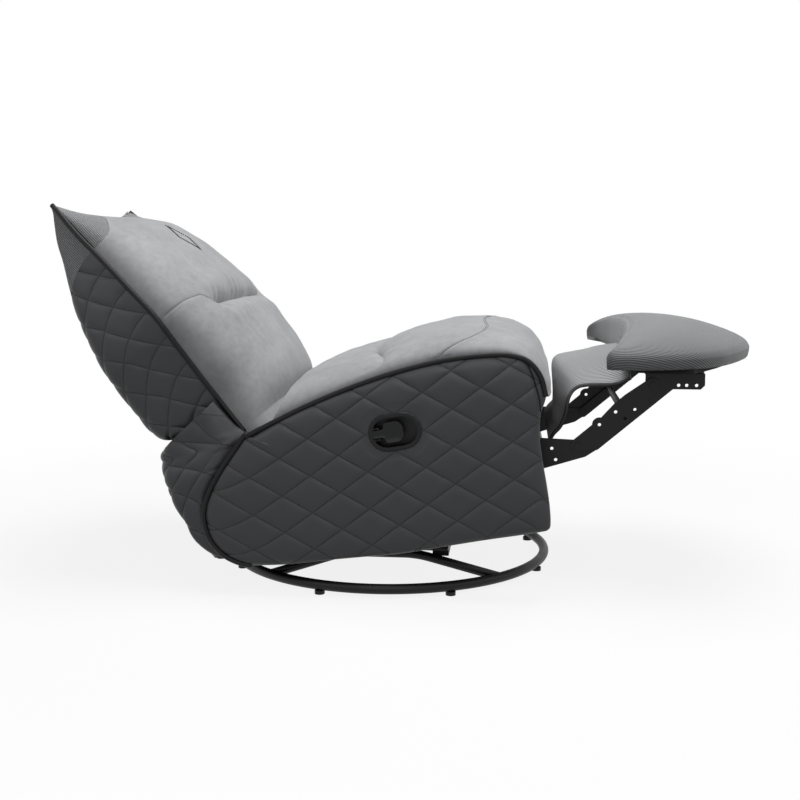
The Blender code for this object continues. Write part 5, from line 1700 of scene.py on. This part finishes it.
    def pillow(
        self, name: str, share: np.ndarray, across: np.ndarray, finish: Finish, slot: Slot,
        stands_for: Sequence[str] = (), lift: np.ndarray | float = 0.0, uv_name: str = QUILT_UV,
    ) -> None:
        """Makes one padded piece of the front.

        Args:
            name: Its name.
            share: Shares of the back's length, rows by columns.
            across: Shares of the half width.
            finish: What it is made of.
            slot: Its record slot.
            stands_for: The CAD nodes it replaces.
            lift: How far its face stands proud of the plain form.
            uv_name: The name of its UV map.
        """
        top = self.front(share, across)
        normal = normals_of(top)
        normal *= np.sign((normal @ [0.0, -math.cos(BACK_LEAN), math.sin(BACK_LEAN)]).mean())
        top = top + normal * np.broadcast_to(lift, share.shape)[..., None]
        gone = run_along(top, axis=1)
        maker = MeshMaker()
        numbers = maker.add_grid(top, np.stack([gone[:, -1:] - gone, share * BACK_LENGTH], axis=-1))
        core = np.array(share[[0, -1], share.shape[1] // 2].mean())
        x = across[len(across) * 2 // 3].mean() * self.half_width(core)
        maker.close_under(numbers, top, back_points(x, core * BACK_LENGTH, -self.pillow_core))
        self.chair.place(maker.build(name, uv_name), finish, "back", slot, stands_for, fill=0.7)

    def build(self) -> None:
        """Builds the pillows, the ears, the shell and the piping."""
        turn = np.linspace(-math.pi / 2, math.pi / 2, self.pillow_columns)
        across = np.sin(turn)[None, :]
        seam = curve_at(self.seam_shares, np.abs(across))
        rows = np.linspace(0.0, 1.0, self.pillow_rows)[:, None]
        foot = self.foot_share
        lower = foot + (seam - foot) * (1.0 - (1.0 - rows) ** self.pillow_ease)
        upper = seam + (self.top_share - seam) * rows**self.pillow_ease
        ear = np.where(upper < self.ear_share, 1.0, curve_at(self.ear_seam_shares, upper))
        for name, share, wide, node in (
            ("lumbar_pillow", lower, across * np.ones_like(lower), "lumbar_cushion"),
            ("head_pillow", upper, across * ear, "headrest_cushion"),
        ):
            fall = self.seam_fall(share, wide, seam)
            self.pillow(name, share, wide, SUEDE, Slot.SUEDE, [node], fall)
        self.sew_rhombus()
        out = np.linspace(0.0, 1.0, self.ear_columns)[None] ** self.ear_ease
        share = self.ear_share + (self.top_share - self.ear_share) * rows * np.ones_like(out)
        ear = curve_at(self.ear_seam_shares, share)
        for side in Side:
            wide, name = side.value * (ear + (1.0 - ear) * out), f"ear_front_{side.word}"
            self.pillow(name, share, wide, FINE_RIBBED, Slot.RIBBED, uv_name=WEAVE_UV)
        self.shell()
        self.pipe()

    def seam_fall(
        self, share: np.ndarray, across: np.ndarray, seam: np.ndarray | float
    ) -> np.ndarray:
        """The fold between the pillows: deep and gathered in the middle, a thin seam outside.

        Args:
            share: Shares of the back's length.
            across: Shares of its half width.
            seam: The seam's share of the length.

        Returns:
            How far each point stands off the plain form.
        """
        gone = np.abs(share - seam) * BACK_LENGTH
        outer = np.clip((np.abs(across) - self.tuft_share) / self.tuft_fade_share, 0.0, 1.0)
        inner = eased(1.0 - outer)
        depth = self.seam.depth + self.tuft.depth * inner
        lift = Groove(depth, self.seam.width + self.tuft.width * inner).at(gone)
        lift += inner * self.brow.at(gone)
        # Gathers of uneven width, and slack cloth in slow waves that cross at a slant.
        folds = np.sin(across * 36.0 + 1.7 * np.sin(across * 11.0))
        folds = folds + 0.6 * np.sin(across * 61.0 + 1.0)
        fade = np.exp(-gone / self.gather_reach) * np.clip(gone / self.gather_start, 0.0, 1.0)
        lift += self.gather * inner * folds * fade
        slack = np.sin(share * 34.0 + across * 2.6) * np.sin(across * 6.0 - share * 17.0 + 0.7)
        lift += self.slack * slack * (1.0 - np.abs(across) ** 4)
        return lift * np.clip((1.0 - np.abs(across)) / self.border_share, 0.0, 1.0)

    def sew_rhombus(self) -> None:
        """Sews a plain rhombus on the head pillow, in two outlines."""
        unit = np.array([(-1.0, 0.0), (0.0, 1.0), (1.0, 0.0), (0.0, -1.0), (-1.0, 0.0)])
        for number, size in enumerate(self.rhombus_outline_shares):
            corners = unit * self.rhombus_half_shares * size + [self.rhombus_share, 0.0]
            share, across = even_steps(corners, self.rhombus_steps).T
            face = self.front(share, across)
            up = self.front(share + self.rhombus_slope_shares[0], across) - face
            aside = self.front(share, across + self.rhombus_slope_shares[1]) - face
            normal = np.cross(up, aside)
            normal /= np.linalg.norm(normal, axis=1, keepdims=True)
            normal *= np.sign(normal[:, 2:3])
            proud = self.seam_fall(share, across, self.seam_shares[0][1]) + self.rhombus_proud
            row = self.rhombus_thread.sew(face + normal * proud[:, None], normal)
            piece = row.build(f"rhombus_stitches_{number + 1}")
            self.chair.place(piece, THREAD, "back", Slot.SUEDE)

    def section(self) -> tuple[np.ndarray, np.ndarray]:
        """The shell's boxy section, side to side.

        Returns:
            Its points' shares of the half width and of the depth.
        """
        turn = np.linspace(0.0, math.pi, self.shell_columns)
        across = -np.sign(np.cos(turn)) * np.abs(np.cos(turn)) ** self.section_power
        behind = np.clip(np.sin(turn), 0.0, None) ** self.section_power * self.section_rear_share
        path = np.vstack([[[-1.0, 0.0]], np.stack([across, behind], axis=1), [[1.0, 0.0]]])
        even = even_steps(path * self.section_size, self.shell_columns) / self.section_size
        return even[:, 0], even[:, 1]

    def shell(self) -> None:
        """The quilted sides and rear, and the ribbed ears beyond their seam."""
        across, behind = self.section()
        on_side = np.abs(across) > self.side_from_share
        rear = self.ear_side_depth * np.where(on_side, behind, 1.0)
        seam = curve_at(self.ear_side_rows, rear)[None] / BACK_LENGTH
        rows = np.linspace(0.0, 1.0, self.shell_rows)[:, None]
        foot, top = self.shell_shares
        self.shell_part(foot + (seam - foot) * rows, across, behind, quilted=True)
        self.shell_part(seam + (top - seam) * rows, across, behind, quilted=False)

    def shell_part(
        self, share: np.ndarray, across: np.ndarray, behind: np.ndarray, quilted: bool
    ) -> None:
        """One of the shell's two parts, closed at its ends and across its front.

        Args:
            share: Shares of the back's length, rows by columns.
            across: The section's shares of the half width.
            behind: Its shares of the depth.
            quilted: Whether it is the quilted part, or else the ribbed ears.
        """
        half = self.half_width(share)
        depth = np.maximum(self.depth * curve_at(self.depth_shares, share), self.least_depth)
        along = share * BACK_LENGTH - self.dip(share, across)
        bow = curve_at(self.bow_rows, share)
        grid = back_points(across * half, along, bow + (depth - bow) * behind)
        gone = run_along(grid, axis=1)
        gone = np.minimum(gone, gone[:, -1:] - gone)
        uv = np.stack([gone, along], axis=-1)
        if quilted:
            rear = gone + bow
            uv = np.stack([family.at(along, rear) for family in (self.falling, self.rising)], axis=-1)
            normal, test = normals_of(grid), (len(share) // 2, 30, 0)
            normal *= np.sign(normal[test] * grid[test])
            lip = np.clip(gone / self.quilt_lip, 0.0, 1.0)
            grid = grid + normal * (self.quilting.at(uv) * lip)[..., None]
        steps = np.linspace(-1.0, 1.0, grid.shape[1])[None, :]
        level = share[:, :1] * np.ones_like(steps)
        up = level * BACK_LENGTH - self.dip(level, steps)
        maker = sheet_of(grid, back_points(steps * half[:, :1], up, bow[:, :1]), uv)
        if quilted:
            piece, finish, slot = maker.build("quilted_back", QUILT_UV), LEATHER, Slot.LEATHER
        else:
            piece, finish, slot = maker.build("ribbed_ears", WEAVE_UV), FINE_RIBBED, Slot.RIBBED
        self.chair.place(piece, finish, "back", slot, ["back_shell"], fill=0.6)

    def pipe(self) -> None:
        """Sews the black piping along both edges of the back, up to the ears' tips."""
        share = np.linspace(0.0, self.piping_end_share, self.piping_steps)
        behind = curve_at(self.bow_rows, share) - self.cloth
        for side in Side:
            x = side.value * (self.half_width(share) + self.piping_out)
            path = kept_in(back_points(x, share * BACK_LENGTH, behind), self.foot_round)
            cord = tube(path, self.piping_radius, self.piping_sides)
            self.chair.place(cord.build(f"back_piping_{side.word}"), PIPING, "back", Slot.LEATHER)


@dataclass
class ReleaseLever:
    """The moulded cup in the right-hand panel, and the paddle with its raised rim."""

    chair: Chair
    face: float = -0.384
    thickness: float = 0.006
    cup_bevel: float = 0.0008
    outline_steps: int = 160

    # The paddle's outline along and up from the cup's middle, the line on which its faces close,
    # and the rim's steps, each drawn in and sunk by so much.
    outline: Rows = (
        (-0.0475, -0.0080), (-0.0260, -0.0085), (-0.0235, -0.0105), (-0.0215, -0.0185),
        (-0.0180, -0.0215), (0.0060, -0.0215), (0.0130, -0.0175), (0.0178, -0.0080),
        (0.0178, 0.0080), (0.0130, 0.0175), (0.0060, 0.0215), (-0.0180, 0.0215),
        (-0.0215, 0.0185), (-0.0235, 0.0105), (-0.0260, 0.0085), (-0.0475, 0.0080),
    )
    spine: Range = (-0.044, 0.008)
    rim_steps: Rows = ((0.0, 0.0008), (0.0008, 0.0), (0.0022, 0.0), (0.0030, 0.0010))

    def build(self) -> None:
        """Dresses the cup and makes the paddle."""
        self.chair.redress(["lever_cup"], PLASTIC, self.cup_bevel)
        shape = even_steps(np.array(self.outline), self.outline_steps, closed=True)
        steps = ((0.0, self.thickness), *self.rim_steps)
        rings = [self.ring(shape, inset, depth) for inset, depth in steps]
        maker = MeshMaker()
        maker.add_grid(np.array(rings), wrap=True)
        line = np.stack([np.clip(shape[:, 0], *self.spine), 0 * shape[:, 1]], axis=1)
        for end, depth in ((rings[0], self.thickness), (rings[-1], self.rim_steps[-1][1])):
            middle = self.lay(line, depth)
            maker.add_grid(np.array([end, (end + middle) / 2, middle]), wrap=True)
        piece = maker.build("paddle")
        self.chair.place(piece, PLASTIC, "lever", Slot.PLASTIC, ["release_lever"])

    def lay(self, flat: np.ndarray, depth: float) -> np.ndarray:
        """Lays points on the lever's tilted face.

        Args:
            flat: Their places along and up the lever.
            depth: How far behind the face they lie.

        Returns:
            The points.
        """
        sin, cos = math.sin(LEVER_TILT), math.cos(LEVER_TILT)
        y = LEVER_Y - flat[:, 0] * cos + flat[:, 1] * sin
        z = LEVER_Z + flat[:, 0] * sin + flat[:, 1] * cos
        return np.stack([np.full(len(flat), self.face + depth), y, z], axis=1)

    def ring(self, shape: np.ndarray, inset: float, depth: float) -> np.ndarray:
        """The outline drawn in.

        Args:
            shape: The outline.
            inset: How far it is drawn in.
            depth: How far behind the face it lies.

        Returns:
            The ring's points.
        """
        way = np.roll(shape, -1, axis=0) - np.roll(shape, 1, axis=0)
        way /= np.linalg.norm(way, axis=1, keepdims=True)
        return self.lay(shape + np.stack([-way[:, 1], way[:, 0]], axis=1) * inset, depth)


@dataclass
class Footrest:
    """The winged pad in ribbed cloth, and the flap that runs up to it from the seat.

    The pad's edges are (x, y) points of its left half, mirrored.
    """

    chair: Chair
    bottom: float = 0.4906
    edge_height: float = 0.034
    rim_share: float = 0.58
    crown_depth: float = 0.054
    crown_power: float = 1.9
    crown_least_share: float = 0.04
    roll: float = 0.008
    rib_turn: float = 0.06
    columns: int = 301
    rows: int = 161

    front_half: Rows = (
        (0.0, -0.822), (0.075, -0.808), (0.151, -0.781), (0.219, -0.750), (0.274, -0.718),
        (0.320, -0.674), (0.348, -0.620), (0.364, -0.570), (0.3715, -0.530), (0.3715, -0.505),
        (0.3685, -0.488), (0.363, -0.479),
    )
    rear_half: Rows = (
        (0.0, -0.530), (0.070, -0.529), (0.140, -0.5245), (0.200, -0.519), (0.260, -0.510),
        (0.300, -0.503), (0.330, -0.4955), (0.350, -0.486), (0.357, -0.476),
    )
    crown_shares: Rows = (
        (0.0, 0.0), (0.02, 0.12), (0.07, 0.28), (0.15, 0.45), (0.25, 0.62), (0.37, 0.79),
        (0.50, 0.92), (0.63, 0.99), (0.75, 1.0), (0.85, 0.96), (0.93, 0.82), (0.98, 0.55),
        (1.0, 0.0),
    )

    # Under the pad: rings drawn in to the middle, how far the ribs have run on at each, and how
    # far the outermost one lies above the bottom.
    middle: Range = (0.0, -0.62)
    under_share: float = 0.985
    under_rows: Rows = ((1.012, 0.010), (1.0, 0.020), (0.95, 0.035), (0.5, 0.20), (0.0, 0.35))
    under_lift: float = 0.010

    flap_half: float = 0.225
    flap_thickness: float = 0.008
    flap_power: float = 2.6
    flap_rows: int = 161
    flap_columns: int = 121
    flap_middle: Rows = (
        (-0.3650, 0.322), (-0.3740, 0.337), (-0.3790, 0.352), (-0.3805, 0.370), (-0.3805, 0.392),
        (-0.3795, 0.412), (-0.3780, 0.432), (-0.3765, 0.452), (-0.3785, 0.4700), (-0.3900, 0.4815),
        (-0.4150, 0.4880), (-0.4500, 0.4950), (-0.4850, 0.5040), (-0.5350, 0.5115),
    )
    flap_edge: Rows = (
        (-0.3650, 0.322), (-0.3740, 0.337), (-0.3865, 0.351), (-0.3945, 0.368), (-0.3995, 0.383),
        (-0.4008, 0.399), (-0.4045, 0.4165), (-0.4145, 0.4325), (-0.4300, 0.4420), (-0.4520, 0.4454),
        (-0.4760, 0.4456), (-0.4990, 0.4460), (-0.5200, 0.4515), (-0.5358, 0.4608),
    )

    # An axis square to the seat's front, an anchor at the flap's foot and a share, for a fold of the
    # flap onto the seat's front.
    fold_axis: Place = (0.0, 0.9902, -0.140)
    fold_anchor: Place = (0.0, -0.3705, 0.322)
    fold_keep: float = 0.05

    def build(self) -> None:
        """Builds the pad and the flap."""
        self.pad()
        self.flap()

    def edge(self, half: Rows) -> np.ndarray:
        """One edge of the pad from the right horn's tip to the left one's, in even steps."""
        whole = (*((-x, y) for x, y in half[:0:-1]), *half)
        return even_steps(spline(whole, 900), self.columns)

    def pad(self) -> None:
        """The domed pad, between its long front edge and its hollow rear edge."""
        front, rear = self.edge(self.front_half), self.edge(self.rear_half)
        share = np.linspace(-1.0, 1.0, self.columns)[None]
        along = (0.5 - 0.5 * np.cos(np.linspace(0.0, math.pi, self.rows)))[:, None]
        flat = front + (rear - front) * along[..., None]
        least = self.crown_least_share
        domed = least + (1.0 - least) * crown(share, self.crown_power)
        inside = domed * np.clip(curve_at(self.crown_shares, along), 0.0, 1.0)
        rim = self.rim_share + (1.0 - self.rim_share) * np.sqrt(inside)
        x, tilt = flat[..., 0], self.roll * flat[..., 0]
        z = self.bottom + self.edge_height * rim + self.crown_depth * inside
        top = np.concatenate([flat, (z + tilt)[..., None]], axis=-1)
        across = x + np.tanh(x / self.rib_turn) * (z.max() - z)
        maker = MeshMaker()
        numbers = maker.add_grid(top, np.stack([across, flat[..., 1]], axis=-1))
        drawn = self.middle + (flat - self.middle) * self.under_share
        low = np.concatenate([drawn, (self.bottom + tilt)[..., None]], axis=-1)
        self.under(maker, border_of(numbers), border_of(low), border_of(across))
        piece = maker.build("winged_pad", WEAVE_UV)
        self.chair.place(piece, RIBBED, "footrest", Slot.RIBBED, ["footrest_pad"], fill=0.7)

    def under(
        self, maker: MeshMaker, numbers: np.ndarray, edge: np.ndarray, ribs: np.ndarray
    ) -> None:
        """Turns the pad's border under, ribs and all, and closes it against the board.

        Args:
            maker: The pad's mesh.
            numbers: Its border's vertex numbers.
            edge: The points where the border meets the bottom.
            ribs: The weave coordinate across the ribs, at the border.
        """
        middle = np.array([*self.middle, self.bottom])
        shares, turned = np.array(self.under_rows).T[..., None]
        rings = middle + (edge - middle) * shares[..., None]
        rings[0, :, 2] += self.under_lift
        across = ribs + np.tanh(edge[:, 0] / self.rib_turn) * turned
        uv = np.stack([across, rings[..., 1]], axis=-1)
        inner = maker.add_grid(rings, uv, wrap=True, flip=True)
        maker.join_rows(np.stack([numbers, inner[0]]), wrap=True, flip=True)

    def flap(self) -> None:
        """The cloth flap, from the seat's front up to the pad."""
        middle, edge = (spline(line, self.flap_rows) for line in (self.flap_middle, self.flap_edge))
        across = np.linspace(-1.0, 1.0, self.flap_columns)
        fall = np.abs(across) ** self.flap_power
        flat = middle[:, None] + (edge - middle)[:, None] * fall[None, :, None]
        x = np.broadcast_to(across * self.flap_half, flat.shape[:2])[..., None]
        top = np.concatenate([x, flat], axis=-1)
        down = np.gradient(flat, axis=0)
        down *= self.flap_thickness / np.linalg.norm(down, axis=-1, keepdims=True)
        inner = top + np.stack([0 * down[..., 0], -down[..., 1], down[..., 0]], axis=-1)
        uv = np.stack([top[..., 0], run_along(top)], axis=-1)
        piece = sheet_of(top, inner, uv).build("ribbed_flap", WEAVE_UV)
        self.chair.place(piece, FLAP_WEAVE, "seat", Slot.RIBBED, ["calf_flap"], fill=0.2)
        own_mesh(piece)


@dataclass(frozen=True)
class Lamp:
    """A square soft lamp aimed at a point."""

    name: str
    place: Place
    aim: Place
    size: float
    power: float

    def hang(self) -> None:
        """Adds the lamp to the scene."""
        data = bpy.data.lights.new(self.name, "AREA")
        data.size = self.size
        data.energy = self.power
        made = bpy.data.objects.new(self.name, data)
        made.location = self.place
        way = Vector(self.aim) - Vector(self.place)
        made.rotation_euler = way.to_track_quat("-Z", "Y").to_euler()
        bpy.context.scene.collection.objects.link(made)


@dataclass
class Studio:
    """A pale floor in a white room, soft lamps and the photograph's viewpoint."""

    floor_size: float = 60.0
    floor_below: float = 0.0002
    floor_pale: float = 0.95
    floor_dull: float = 0.08
    white_from: Range = (0.7, 2.2)
    white_shares: Range = (0.86, 1.0)
    world_light: float = 0.10
    lens: float = 52.38
    sensor_width: float = 36.0
    camera_place: Place = (-2.725, -0.250, 0.736)
    camera_way: Place = (0.9861, 0.1011, -0.1312)

    lamps: tuple[Lamp, ...] = (
        Lamp("overhead", (0.1, -0.35, 3.3), (0.0, -0.1, 0.4), 2.0, 88.0),
        Lamp("front", (-1.0, -2.8, 2.5), (0.0, 0.0, 0.4), 1.6, 15.0),
        Lamp("side", (-3.4, -0.1, 2.4), (0.0, 0.0, 0.45), 1.8, 20.0),
        Lamp("rear", (-2.4, 2.6, 2.4), (0.0, 0.4, 0.5), 1.4, 9.0),
    )

    def build(self) -> None:
        """Builds the studio."""
        bpy.context.scene.view_settings.view_transform = "Standard"
        self.world()
        self.floor()
        self.camera()
        for lamp in self.lamps:
            lamp.hang()

    def show(self, tree: Tree, plain: Socket, seen: Socket, output: str) -> None:
        """Shows one surface to camera, glossy and transmission rays, and another to the rest.

        Args:
            tree: The tree of a world or a material.
            plain: The shader that lights the chair.
            seen: The shader that is seen.
            output: The kind of the tree's output node.
        """
        rays = add_node(tree, "LightPath", out="Is Camera Ray")
        look = rays
        for kind in ("Is Glossy Ray", "Is Transmission Ray"):
            look = add_node(tree, "Math", {0: look, 1: rays.node.outputs[kind]}, operation="MAXIMUM")
        mixed = add_node(tree, "MixShader", {0: look, 1: plain, 2: seen})
        add_node(tree, output, {"Surface": mixed})

    def world(self) -> None:
        """A white room in the background, which gives the chair only a little grey light."""
        world = bpy.data.worlds.new("studio")
        world.use_nodes = True
        bpy.context.scene.world = world
        tree = world.node_tree
        tree.nodes.clear()
        plain, white = (
            add_node(tree, "Background", {"Color": (1.0, 1.0, 1.0, 1.0), "Strength": strength})
            for strength in (self.world_light, 1.0)
        )
        self.show(tree, plain, white, "OutputWorld")

    def floor(self) -> None:
        """A pale floor, which keeps the chair's shadow near it and turns white further out."""
        line = np.linspace(-self.floor_size / 2, self.floor_size / 2, 3)
        x, y = np.meshgrid(line, line, indexing="ij")
        maker = MeshMaker()
        maker.add_grid(np.stack([x, y, 0 * x - self.floor_below], axis=-1))
        floor = maker.build("floor")
        made = bpy.data.materials.new("pale_floor")
        made.use_nodes = True
        tree = made.node_tree
        tree.nodes.clear()
        place = add_node(tree, "TexCoord", out="Object")
        far = add_node(tree, "VectorMath", {0: place}, out="Value", operation="LENGTH")
        names = ("From Min", "From Max", "To Min", "To Max")
        spread = dict(zip(names, (*self.white_from, *self.white_shares)))
        reach = add_node(tree, "MapRange", {"Value": far, **spread}, interpolation_type="SMOOTHSTEP")
        pale, dull = (
            add_node(tree, "BsdfDiffuse", {"Color": (grey, grey, grey, 1.0)})
            for grey in (self.floor_pale, self.floor_dull)
        )
        white = add_node(tree, "Emission", {"Strength": 1.0})
        seen = add_node(tree, "MixShader", {0: reach, 1: pale, 2: white})
        self.show(tree, dull, seen, "OutputMaterial")
        floor.data.materials.append(made)

    def camera(self) -> None:
        """The photograph's viewpoint, from the sitter's right and a little above."""
        data = bpy.data.cameras.new("photograph")
        data.lens = self.lens
        data.sensor_width = self.sensor_width
        made = bpy.data.objects.new("photograph", data)
        made.location = self.camera_place
        made.rotation_euler = Vector(self.camera_way).to_track_quat("-Z", "Y").to_euler()
        bpy.context.scene.collection.objects.link(made)
        bpy.context.scene.camera = made


def main() -> None:
    """Dresses the chair and sets up the studio."""
    logging.basicConfig(level=logging.INFO, format="%(name)s: %(message)s")
    chair = Chair(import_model())
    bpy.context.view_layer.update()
    BaseFrame(chair).build()
    Mechanism(chair).build()
    SeatCushion(chair).build()
    for side in Side:
        SidePanel(chair, side).build()
    RearSkirt(chair).build()
    BackRest(chair).build()
    ReleaseLever(chair).build()
    Footrest(chair).build()
    Studio().build()


if __name__ == "__main__":
    main()
